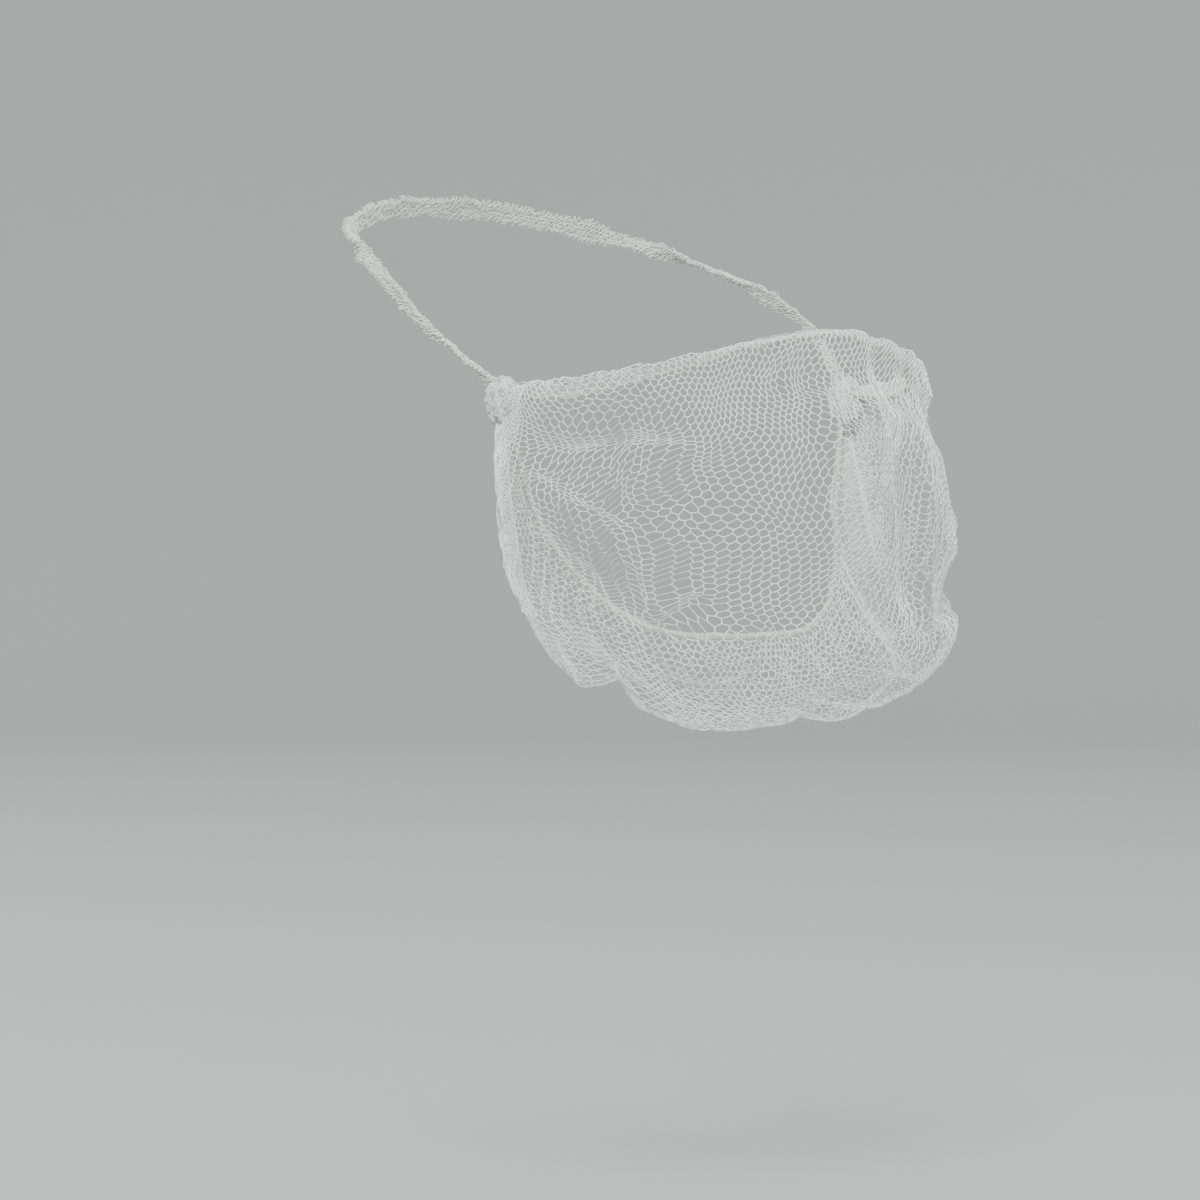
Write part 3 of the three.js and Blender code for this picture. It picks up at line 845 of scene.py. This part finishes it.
def closeness(u, t):
    """How close the net's columns and how close its rows lie over the grid."""
    columns = np.repeat(np.interp(u, *zip(*COLUMN_CROWDING))[:, None], len(t), axis=1)
    rows = np.ones_like(columns)
    for row in PATCHES:
        patch = dict(zip(PATCH_KEYS, row))
        apart_u, apart_t = (u - patch["u"]) / patch["reach_u"], (t - patch["t"]) / patch["reach_t"]
        there = np.exp(-(apart_u[:, None] ** 2) - apart_t[None, :] ** 2)
        columns *= 1 + patch["columns"] * there
        rows *= 1 + patch["rows"] * there
    return columns, rows


def shared_out(points, weight, levels):
    """Where even shares of a line's weighted length lie, in steps of the line."""
    run = np.linalg.norm(np.diff(points, axis=0), axis=1) * (weight[1:] + weight[:-1])
    total = np.concatenate([[0], np.cumsum(run)])
    return np.interp(levels, total / total[-1], np.arange(len(points)))


def lattice_on_grid(u, t, grid, across, down):
    """Places on the grid of a lattice whose columns and rows lie as closely as stated."""
    columns, rows = closeness(u, t)
    last, rounds = 300, 5
    levels = np.linspace(0, 1, last + 1)
    by_row = [shared_out(grid[:, j], columns[:, j], levels) for j in range(len(t))]
    at_i = np.stack(by_row, axis=1)[..., None]
    at_j = np.stack([shared_out(grid[i], rows[i], levels) for i in range(len(u))])[..., None]
    j = down * (len(t) - 1)
    for _ in range(rounds):
        i = sample(at_i, across * last, j)[:, 0]
        j = sample(at_j, i, down * last)[:, 0]
    return i, j


def crowd(across, down, p, strength):
    """Moves flat places towards the lines of the pleats and of the folds that go inwards, one after another,
    to close up cells there."""
    fold_reach, shallow = 1.5, 0.2
    lines = [dict(zip(PLEAT_KEYS, row)) for row in PLEATS]
    for row in FOLDS:
        fold = dict(zip(FOLD_KEYS, row))
        fold["reach"] = fold_reach * p.fold_width * fold["width"]
        fold["strength"] = strength * min(1.0, max(0.0, shallow - fold["depth"]))
        lines.append(fold)
    for line in lines:
        dx, dy, middle = away_from_fold(line, across, down)
        near = np.exp(-(((dx * dx + dy * dy) / line["reach"] ** 2) ** 2))
        pull = line["strength"] * np.sqrt(middle) * near
        across, down = across - dx * pull, down - dy * pull
    return across, down


class BEARDNET_OT_net(bpy.types.Operator):
    """Build the hexagonal net between the elastics, as its upper and its lower rows"""

    bl_idname = "beardnet.net"
    bl_label = "Net"

    def execute(self, context):
        p, n = context.scene.beardnet_pouch, context.scene.beardnet_net
        edge_rows, edge_columns = 0.08, 0.12
        drift_scale, crease_scale, fine_scale = 0.034, 0.016, 0.007
        crease_stretch, fine_share = 1.6, 0.3
        rng = np.random.default_rng(SEED)
        material = yarn_material("Net yarn", n.colour, roughness=0.5, twist_scale=2600.0, depth=5e-5)
        u, t, grid = surface_grid(p)
        normal = outward(grid)
        wave = n.cell_wave / n.cell_pitch
        share, down, cells = lattice_places(n.columns, n.rows, wave)
        i, j = lattice_on_grid(u, t, grid, share, np.clip(down, 0, 1))
        at_u = np.interp(i, np.arange(len(u)), u)
        flat_x, flat_y = at_u * ARC_HALF_WIDTH, j / (len(t) - 1) * ARC_HEIGHT
        calm = np.clip(np.minimum(down, 1 - down) / edge_rows, 0, 1)
        calm = calm * np.clip(np.minimum(at_u, 2 - at_u) / edge_columns, 0, 1)
        moved_x, moved_y = crowd(flat_x, flat_y, p, n.crowding)
        lively = liveliness(at_u, flat_y / ARC_HEIGHT)
        moved_x = moved_x + n.drift * lively * soft_noise(rng, flat_x, flat_y, drift_scale)
        moved_y = moved_y + n.drift * lively * soft_noise(rng, flat_x, flat_y, drift_scale)
        flat_x, flat_y = flat_x + calm * (moved_x - flat_x), flat_y + calm * (moved_y - flat_y)
        i = np.interp(flat_x / ARC_HALF_WIDTH, u, np.arange(len(u)))
        j = flat_y / ARC_HEIGHT * (len(t) - 1)
        points, out = sample(grid, i, j), sample(normal, i, j)
        crease = 1 - 2 * np.abs(soft_noise(rng, flat_x * crease_stretch, flat_y, crease_scale))
        fine = soft_noise(rng, flat_x, flat_y, fine_scale)
        points = points + out * (n.crinkle * calm * lively * (crease + fine_share * fine))[:, None]
        points = points + rng.normal(0, n.jitter, points.shape)
        tree = woven_tree(material)
        upper, lower = cells[: len(cells) // 2], cells[len(cells) // 2 :]
        for name, part in (("pouch_net", upper), ("pouch_net_lower", lower)):
            net = woven(name, tree, points, part, n.yarn)
            finish_piece(net, "net_pouch", material)
        return {"FINISHED"}


# The elastics


def rim_line(p, course, count=400):
    """An edge of the net as an even line from the right corner to the left one, and its length."""
    end = 0.004
    u = np.linspace(end, 2 - end, count)
    return even_line(course_points(p, course, u), count)


def covered_elastic_tree(material):
    """A core with two yarns wound round it, and over them the thread that holds the net, wound both ways."""
    g = Tree(
        "covered_elastic",
        (
            ("Core", "Float", 0.0016),
            ("Cover yarn", "Float", 0.0004),
            ("Cover turns", "Float", 200.0),
            ("Stitch yarn", "Float", 0.0003),
            ("Stitch turns", "Float", 70.0),
            ("Stitch reach", "Float", 0.0011),
            ("Seed", "Float", 3.0),
        ),
    )
    yarn_rise, stitch_phase = 0.2, 1.3
    line = g.curve()
    uneven = g.wander(scale=160.0, reach=0.0009)
    core_radius = g.math("MULTIPLY", g.given("Core"), 0.5)
    core_line = g.move(g.resample(line, count=240), uneven)
    parts = [g.tube(core_line, core_radius, sides=8)]
    along = g.put("GeometryNodeSplineParameter").outputs["Factor"]
    normal = g.put("GeometryNodeInputNormal").outputs[0]
    tangent = g.put("GeometryNodeInputTangent").outputs[0]
    side = g.cross(tangent, normal)

    def winding(turns, reach, yarn, points, phase):
        """A yarn wound round the core."""
        angle = g.math("ADD", g.math("MULTIPLY", along, g.math("MULTIPLY", turns, 2 * math.pi)), phase)
        out = g.plus(g.times(normal, g.math("COSINE", angle)), g.times(side, g.math("SINE", angle)))
        offset = g.plus(g.times(out, reach), uneven)
        return g.tube(g.move(g.resample(line, points), offset), g.math("MULTIPLY", yarn, 0.5), sides=4)

    cover, thread, reach = g.given("Cover yarn"), g.given("Stitch yarn"), g.given("Stitch reach")
    cover_reach = g.math("ADD", core_radius, g.math("MULTIPLY", cover, yarn_rise))
    for phase in (0.0, math.pi):
        parts.append(winding(g.given("Cover turns"), cover_reach, cover, points=2400, phase=phase))
    turns = g.given("Stitch turns")
    for way, phase in ((turns, 0.0), (g.math("MULTIPLY", turns, -1.0), stitch_phase)):
        parts.append(winding(way, reach, thread, points=1500, phase=phase))
    g.end(parts, material)
    return g


def ruffle_points(line, across, down, rng):
    """The net's edge above the top elastic, drawn up into small pleats."""
    pleat, count, edge_length = 0.0011, 58, 0.234
    taper_share, taper_end, sunk, set_back = 0.04, 0.3, 0.15, 0.0006
    height_drift, height_scale = 0.3, 0.03
    phase_drift, phase_scale = 2.2, 0.05
    crumple, crumple_scale, flat_height = 0.0005, 0.004, 0.01
    stations, heights = zip(*RUFFLE_HEIGHTS)
    height = np.interp(across, stations, heights)
    share = np.linspace(0, 1, len(line))
    run = unit(np.gradient(line, axis=0))
    up = unit(np.array([0.0, 0.0, 1.0]) - run * run[:, 2:])
    place, up, out = (read_off(across, share, rows) for rows in (line, up, np.cross(up, run)))
    flat = across * edge_length
    taper = np.clip(np.minimum(across, 1 - across) / taper_share, taper_end, 1)
    tall = height * taper * (1 + height_drift * soft_noise(rng, flat, flat * 0, height_scale))
    phase = phase_drift * soft_noise(rng, flat, flat * 0, phase_scale)
    wave = np.sin(2 * math.pi * count * across + phase)
    rise = (down - sunk) * tall
    small = crumple * soft_noise(rng, flat, down * flat_height, crumple_scale)
    sway = pleat * np.clip(down, 0, 1) * wave + small
    return place + up * rise[:, None] + out * (sway - set_back)[:, None]


class BEARDNET_OT_elastics(bpy.types.Operator):
    """Build the covered elastics along the top and the jaw edge, and the ruffle of net above the top one"""

    bl_idname = "beardnet.elastics"
    bl_label = "Elastics"

    def execute(self, context):
        p, e = context.scene.beardnet_pouch, context.scene.beardnet_elastic
        n = context.scene.beardnet_net
        material = yarn_material("Covered elastic", e.colour, roughness=0.6, twist_scale=2200.0, depth=6e-5)
        tree = covered_elastic_tree(material)
        table = course_table(p)
        lines = {}
        for name, node, course, seed in (
            ("top_covered_elastic", "top_elastic", table[0], 3.0),
            ("jaw_covered_elastic", "jaw_elastic", table[-1], 8.0),
        ):
            line, length = rim_line(p, course)
            lines[name] = line
            values = {
                "Core": e.core,
                "Cover yarn": e.cover_yarn,
                "Cover turns": length / e.cover_pitch,
                "Stitch yarn": e.stitch_yarn,
                "Stitch turns": length / e.stitch_pitch,
                "Stitch reach": e.stitch_reach,
                "Seed": seed,
            }
            piece = tree.run(path_object(name + "_line", line), name, values)
            finish_piece(piece, node, material)
        columns, rows = 170, 6
        rng = np.random.default_rng(SEED + 1)
        net_yarn = yarn_material("Ruffle yarn", n.colour, roughness=0.5, twist_scale=2600.0, depth=5e-5)
        across, down, cells = lattice_places(columns, rows, n.cell_wave / n.cell_pitch)
        points = ruffle_points(lines["top_covered_elastic"], across, down, rng)
        # The ruffle's rows run upwards, so its cells are turned to face outwards.
        cells = [tuple(reversed(cell)) for cell in cells]
        ruffle = woven("top_ruffle", woven_tree(net_yarn), points, cells, n.yarn)
        finish_piece(ruffle, "net_pouch", net_yarn)
        return {"FINISHED"}


# The head band


def band_line(b, corner, count=420):
    """The band's middle as an even line, and its length."""
    rows = np.array([[-b.half_span * x, b.back * y, b.rise * z] for x, y, z in BAND_COURSE])
    mirror = rows[::-1] * (-1, 1, 1)
    middle = np.array([[0.0, b.back, b.rise]])
    knots = np.concatenate([corner[None], rows, middle, mirror, corner[None] * (-1, 1, 1)])
    return even_line(smooth_through(knots[:, None])[:, 0], count)


def knitted_band_tree(material):
    """Chains of loops side by side along a line, with plain elastic threads inside them."""
    g = Tree(
        "knitted_band",
        (
            ("Yarn", "Float", 0.0005),
            ("Wales", "Int", 6),
            ("Loops", "Float", 180.0),
            ("Thickness", "Float", 0.0018),
            ("Seed", "Float", 5.0),
        ),
    )
    line = g.curve()
    along = g.put("GeometryNodeSplineParameter").outputs["Factor"]
    tangent = g.put("GeometryNodeInputTangent").outputs[0]
    out, wide = g.attribute("out"), g.attribute("wide")
    half_width, slit = g.attribute("half_width", "FLOAT"), g.attribute("slit", "FLOAT")
    wale_phase, loop_reach, loop_depth, core_girth = 2.6, 0.00042, 0.34, 1.5
    loop_share, loop_least = 0.18, 0.00024
    lumps = g.wander(scale=260.0, reach=0.0016)

    def chain(points, spread, amount):
        """Copies of the line side by side, the number of each and its distance from the band's middle."""
        copies = g.put(
            "GeometryNodeDuplicateElements",
            {"Geometry": g.resample(line, points), "Amount": amount},
            domain="SPLINE",
        )
        number = copies.outputs["Duplicate Index"]
        last = g.math("SUBTRACT", amount, 1.0)
        share = g.math("SUBTRACT", g.math("MULTIPLY", g.math("DIVIDE", number, last), 2.0), 1.0)
        apart = g.math("MULTIPLY", share, g.math("MULTIPLY", half_width, spread))
        gap = g.math("MULTIPLY", g.math("SIGN", share), slit)
        return copies.outputs["Geometry"], number, g.math("ADD", apart, gap)

    wales, number, apart = chain(points=2400, spread=0.86, amount=g.given("Wales"))
    uneven = g.put("ShaderNodeSeparateXYZ", {0: g.wander(scale=140.0, reach=14.0, copy=number)}).outputs[0]
    phase = g.math("ADD", g.math("MULTIPLY", number, wale_phase), uneven)
    full_turns = g.math("MULTIPLY", g.given("Loops"), 2 * math.pi)
    turn = g.math("ADD", g.math("MULTIPLY", along, full_turns), phase)
    loop_width = g.math("ADD", g.math("MULTIPLY", half_width, loop_share), loop_least)
    swing = g.math("MULTIPLY", g.math("SINE", turn), loop_width)
    double = g.math("MULTIPLY", turn, 2.0)
    back_and_forth = g.math("MULTIPLY", g.math("SINE", double), loop_reach)
    depth = g.math("MULTIPLY", g.math("COSINE", turn), g.math("MULTIPLY", g.given("Thickness"), loop_depth))
    offset = g.plus(g.times(wide, g.math("ADD", apart, swing)), g.times(out, depth))
    strays = g.plus(lumps, g.wander(scale=420.0, reach=0.0022, copy=number))
    offset = g.plus(g.plus(offset, g.times(tangent, back_and_forth)), strays)
    yarn_radius = g.math("MULTIPLY", g.given("Yarn"), 0.5)
    parts = [g.tube(g.move(wales, offset), yarn_radius, sides=4)]
    cores, core, core_apart = chain(points=300, spread=0.6, amount=4)
    core_lumps = g.plus(lumps, g.wander(scale=120.0, reach=0.0012, copy=core))
    core_offset = g.plus(g.times(wide, core_apart), core_lumps)
    parts.append(g.tube(g.move(cores, core_offset), g.math("MULTIPLY", yarn_radius, core_girth), sides=6))
    g.end(parts, material)
    return g


class BEARDNET_OT_band(bpy.types.Operator):
    """Build the knitted head band"""

    bl_idname = "beardnet.band"
    bl_label = "Head band"

    def execute(self, context):
        b = context.scene.beardnet_band
        *_, corner = pouch_scale(context.scene.beardnet_pouch)
        middle_y, tilt = 0.010, 0.35
        narrow, widening = 0.35, 0.35
        slit_width, slit_middle, slit_reach = 0.0007, 0.33, 0.05
        loose_start, loose_end, loose_fade = 0.1, 0.95, 0.3
        twist_reach, twist_wave, twist_phase, fine_twist, fine_twist_wave = 0.9, 21, 0.6, 0.5, 47
        width_waves = ((0.12, 61, 0.0), (0.1, 97, 1.0))
        material = yarn_material("Band yarn", b.colour, roughness=0.65, twist_scale=2000.0, depth=8e-5)
        line, length = band_line(b, corner)
        run = unit(np.gradient(line, axis=0))
        out = np.stack([line[:, 0], line[:, 1] - middle_y, tilt * np.maximum(0, line[:, 1])], axis=1)
        out = unit(out - run * (out * run).sum(axis=1, keepdims=True))
        wide = np.cross(out, run)
        share = np.linspace(0, 1, len(line))
        from_corner = 2 * np.minimum(share, 1 - share)
        spread = np.clip((from_corner - narrow) / widening, 0, 1)
        half_width = (b.width_at_corner + (b.width_at_back - b.width_at_corner) * spread) / 2
        slit = slit_width * np.exp(-(((from_corner - slit_middle) / slit_reach) ** 2))
        loose = np.clip(from_corner / loose_start, 0, 1)
        loose = loose * np.clip((loose_end - from_corner) / loose_fade, 0, 1)
        wave = np.sin(twist_wave * share + twist_phase) + fine_twist * np.sin(fine_twist_wave * share)
        twist = twist_reach * loose * wave
        cosine, sine = np.cos(twist)[:, None], np.sin(twist)[:, None]
        out, wide = out * cosine + wide * sine, wide * cosine - out * sine
        uneven = sum(depth * np.sin(wave * share + phase) for depth, wave, phase in width_waves)
        half_width = half_width * (1 + uneven)
        vectors = {"out": out, "wide": wide, "half_width": half_width, "slit": slit}
        path = path_object("band_line", line, vectors)
        values = {"Yarn": b.yarn, "Wales": b.wales, "Loops": length / b.loop_pitch, "Thickness": b.thickness}
        piece = knitted_band_tree(material).run(path, "band_knit", values)
        finish_piece(piece, "head_band", material)
        return {"FINISHED"}


# The corners


def bunch_points(k, corner, angle, level, scale):
    """Places on the bunch: angle round it, level from 0 at its top to 1 at its foot, scale of its girth."""
    fullness, pleats, pleat_depth = 0.8, 9, 0.12
    down = np.array([0.0, -math.sin(k.lean), -math.cos(k.lean)])
    ahead = np.array([0.0, -math.cos(k.lean), math.sin(k.lean)])
    side = np.array([1.0, 0.0, 0.0])
    middle = corner + down * k.drop
    pleated = 1 + pleat_depth * np.cos(pleats * angle)
    girth = np.clip(np.sin(math.pi * level), 0, 1) ** fullness * pleated * scale
    fall = -np.cos(math.pi * level) * k.length / 2
    points = middle + down * fall[:, None]
    points = points + ahead * (np.cos(angle) * girth * k.width / 2)[:, None]
    return points + side * (np.sin(angle) * girth * k.thickness / 2)[:, None]


def drawn_strands_tree(material):
    """Tubes along all lines of the input, for strands and thread."""
    g = Tree("drawn_strands", (("Yarn", "Float", 0.0005), ("Seed", "Float", 2.0)))
    line = g.move(g.curve(), g.wander(scale=330.0, reach=0.0011))
    g.end([g.tube(line, g.math("MULTIPLY", g.given("Yarn"), 0.5), sides=5)], material)
    return g


class BEARDNET_OT_corners(bpy.types.Operator):
    """Build the two corners where net, elastics and band are bunched and sewn together"""

    bl_idname = "beardnet.corners"
    bl_label = "Corner gathers"

    def execute(self, context):
        k, n = context.scene.beardnet_corner, context.scene.beardnet_net
        *_, corner = pouch_scale(context.scene.beardnet_pouch)
        # The bunched yarn is the net's own colour darkened by this factor: painted shade for the dense bunch,
        # not a different yarn.
        bunch_painted_shade, top, foot, jitter = 0.84, 0.04, 0.96, 0.00035
        shells = ((1.04, 24, 16), (0.94, 26, 17))  # share of the girth, columns and rows of cells
        material = yarn_material(
            "Gathered net yarn in painted shade", tinted(n.colour, bunch_painted_shade), roughness=0.55, twist_scale=2400.0, depth=6e-5
        )
        net_tree, strand_tree = woven_tree(material), drawn_strands_tree(material)
        for name, node, side in (
            ("right_corner_knot", "corner_gather_right", 1.0),
            ("left_corner_knot", "corner_gather_left", -1.0),
        ):
            rng = np.random.default_rng(SEED + 2)
            parts = []
            for scale, columns, rows in shells:
                across, down, cells = lattice_places(columns, rows, n.cell_wave / n.cell_pitch)
                level = top + (foot - top) * np.clip(down, 0, 1)
                angle = 2 * math.pi * across
                points = bunch_points(k, corner, angle, level, scale)
                points = points + rng.normal(0, jitter, points.shape)
                parts.append(woven(name + "_shell", net_tree, points, cells, n.yarn))
            parts.append(self.core(k, corner, name))
            parts.append(self.strands(k, corner, rng, name, strand_tree))
            piece = fused(parts, name)
            if side < 0:
                mirror_mesh(piece.data)
            finish_piece(piece, node, material)
        return {"FINISHED"}

    def core(self, k, corner, name):
        """The bunch's dense middle."""
        around, levels, scale, top, foot = 54, 16, 0.98, 0.02, 0.98
        points, faces = [], []
        for ring in range(levels + 1):
            angle = 2 * math.pi * np.arange(around) / around
            level = np.full(around, top + (foot - top) * ring / levels)
            points.extend(bunch_points(k, corner, angle, level, scale))
        for ring in range(levels):
            for side in range(around):
                a, b = ring * around + side, ring * around + (side + 1) % around
                faces.append((a, a + around, b + around, b))
        faces.append(tuple(range(around)))
        faces.append(tuple(levels * around + side for side in reversed(range(around))))
        mesh = mesh_of(name + "_core", points, faces=faces)
        return new_object(name + "_core", mesh)

    def strands(self, k, corner, rng, name, tree):
        """Strands along the bunch, and the thread that binds its upper part."""
        steps, sway, waves = 14, 0.5, 5
        tops, feet, scales, phases = (0.02, 0.3), (0.7, 0.98), (0.84, 1.08), (0, 6)
        turns, turn_steps, thread_top, thread_height, thread_scale = 5, 26, 0.27, 0.09, 1.06
        points, edges = [], []
        for _ in range(k.strands):
            angle = rng.uniform(0, 2 * math.pi)
            level = np.linspace(rng.uniform(*tops), rng.uniform(*feet), steps)
            scale = rng.uniform(*scales)
            bend = angle + sway * np.sin(level * waves + rng.uniform(*phases))
            start = len(points)
            points.extend(bunch_points(k, corner, bend, level, scale))
            edges.extend((start + i, start + i + 1) for i in range(steps - 1))
        start, count = len(points), turn_steps * turns
        share = np.linspace(0, 1, count)
        level = thread_top + thread_height * share
        points.extend(bunch_points(k, corner, 2 * math.pi * turns * share, level, thread_scale))
        edges.extend((start + i, start + i + 1) for i in range(count - 1))
        mesh = mesh_of(name + "_strand_lines", points, edges=edges)
        lines = new_object(name + "_strand_lines", mesh)
        return tree.run(lines, name + "_strands", {"Yarn": k.yarn})


def fused(parts, name):
    """One plain mesh of several, and the parts removed."""
    points, faces = [], []
    for part in parts:
        start = len(points)
        points.extend(tuple(v.co) for v in part.data.vertices)
        faces.extend(tuple(start + i for i in polygon.vertices) for polygon in part.data.polygons)
        bpy.data.objects.remove(part)
    return new_object(name, mesh_of(name, points, faces=faces))


def mirror_mesh(mesh):
    """Mirrors a mesh in X and keeps its faces pointing out."""
    for vertex in mesh.vertices:
        vertex.co.x = -vertex.co.x
    mesh.flip_normals()


# The stage


class BEARDNET_OT_stage(bpy.types.Operator):
    """Build the pale floor and wall, the soft lights and the camera"""

    bl_idname = "beardnet.stage"
    bl_label = "Stage"

    def execute(self, context):
        s = context.scene.beardnet_stage
        sky_colour, sky_strength = (0.90, 0.93, 0.93, 1.0), 1.45
        self.bowl(s)
        for name, place, size, power, tone in (
            ("Key light", (-1.5, -1.9, 2.0), 1.0, 120.0, (1.0, 0.99, 0.97)),
            ("Fill light", (1.9, -1.5, 1.2), 1.8, 22.0, (0.96, 0.98, 1.0)),
            ("Back light", (-0.6, 2.0, 1.8), 1.4, 40.0, (1.0, 1.0, 1.0)),
        ):
            self.light(name, place, size, power, tone)
        world = bpy.data.worlds.new("Pale room")
        world.use_nodes = True
        sky = world.node_tree.nodes["Background"]
        sky.inputs["Color"].default_value = sky_colour
        sky.inputs["Strength"].default_value = sky_strength
        context.scene.world = world
        self.camera(context, s)
        return {"FINISHED"}

    def bowl(self, s):
        """A floor that curves up into a round wall."""
        steps, sides, roughness = 12, 96, 0.9
        profile = [(0.0, 0.0), (s.floor_radius, 0.0)]
        for step in range(1, steps + 1):
            angle = math.pi / 2 * step / steps
            radius = s.floor_radius + s.cove_radius * math.sin(angle)
            profile.append((radius, s.cove_radius * (1 - math.cos(angle))))
        profile.append((s.floor_radius + s.cove_radius, s.wall_height))
        points, faces = [], []
        for radius, height in profile:
            for side in range(sides):
                angle = 2 * math.pi * side / sides
                points.append((radius * math.cos(angle), radius * math.sin(angle), height - s.floor_drop))
        for ring in range(len(profile) - 1):
            for side in range(sides):
                a, b = ring * sides + side, ring * sides + (side + 1) % sides
                faces.append((a, b, b + sides, a + sides))
        mesh = mesh_of("Studio bowl", points, faces=faces)
        for polygon in mesh.polygons:
            polygon.use_smooth = True
        shader = Shader("Studio bowl")
        shader.surface.inputs["Base Color"].default_value = (*s.floor_colour, 1.0)
        shader.surface.inputs["Roughness"].default_value = roughness
        mesh.materials.append(shader.material)
        new_object("Studio bowl", mesh)

    def light(self, name, place, size, power, tone):
        """A soft square light that points at the origin."""
        lamp = bpy.data.lights.new(name, "AREA")
        lamp.energy, lamp.size, lamp.color = power, size, tone
        piece = bpy.data.objects.new(name, lamp)
        piece.location = place
        piece.rotation_euler = (-Vector(place)).to_track_quat("-Z", "Y").to_euler()
        bpy.context.scene.collection.objects.link(piece)

    def camera(self, context, s):
        """A camera on the stated side."""
        sensor_width = 36.0
        right = Vector((math.cos(s.azimuth), math.sin(s.azimuth), 0.0))
        back = Vector(
            (
                math.sin(s.azimuth) * math.cos(s.elevation),
                -math.cos(s.azimuth) * math.cos(s.elevation),
                math.sin(s.elevation),
            )
        )
        up = back.cross(right)
        lens = bpy.data.cameras.new("Camera")
        lens.sensor_width = sensor_width
        lens.lens = sensor_width * s.distance / s.frame_width
        piece = bpy.data.objects.new("Camera", lens)
        piece.location = back * s.distance - right * s.aim_right - up * s.aim_up
        piece.rotation_euler = (-back).to_track_quat("-Z", "Y").to_euler()
        context.scene.collection.objects.link(piece)
        context.scene.camera = piece


OPERATORS = (
    BEARDNET_OT_net,
    BEARDNET_OT_elastics,
    BEARDNET_OT_band,
    BEARDNET_OT_corners,
    BEARDNET_OT_stage,
)
GROUPS = (
    ("beardnet_pouch", BEARDNET_PG_pouch),
    ("beardnet_net", BEARDNET_PG_net),
    ("beardnet_elastic", BEARDNET_PG_elastic),
    ("beardnet_band", BEARDNET_PG_band),
    ("beardnet_corner", BEARDNET_PG_corner),
    ("beardnet_stage", BEARDNET_PG_stage),
)


class BEARDNET_PT_panel(bpy.types.Panel):
    """Operators and sizes of the beard net."""

    bl_idname = "BEARDNET_PT_panel"
    bl_label = "Beard net"
    bl_space_type = "VIEW_3D"
    bl_region_type = "UI"
    bl_category = "Beard net"

    def draw(self, context):
        for operator in OPERATORS:
            self.layout.operator(operator.bl_idname)
        for key, group in GROUPS:
            box = self.layout.box()
            box.label(text=group.__doc__)
            for name in group.__annotations__:
                box.prop(getattr(context.scene, key), name)


def register():
    """Registers the groups, the operators and the panel."""
    for key, group in GROUPS:
        bpy.utils.register_class(group)
        setattr(bpy.types.Scene, key, bpy.props.PointerProperty(type=group))
    for operator in OPERATORS:
        bpy.utils.register_class(operator)
    bpy.utils.register_class(BEARDNET_PT_panel)


def unregister():
    """Takes them away again."""
    bpy.utils.unregister_class(BEARDNET_PT_panel)
    for operator in reversed(OPERATORS):
        bpy.utils.unregister_class(operator)
    for key, group in reversed(GROUPS):
        delattr(bpy.types.Scene, key)
        bpy.utils.unregister_class(group)


def main():
    """Builds everything in order."""
    register()
    for name in ("net", "elastics", "band", "corners", "stage"):
        getattr(bpy.ops.beardnet, name)()


if __name__ == "__main__":
    main()
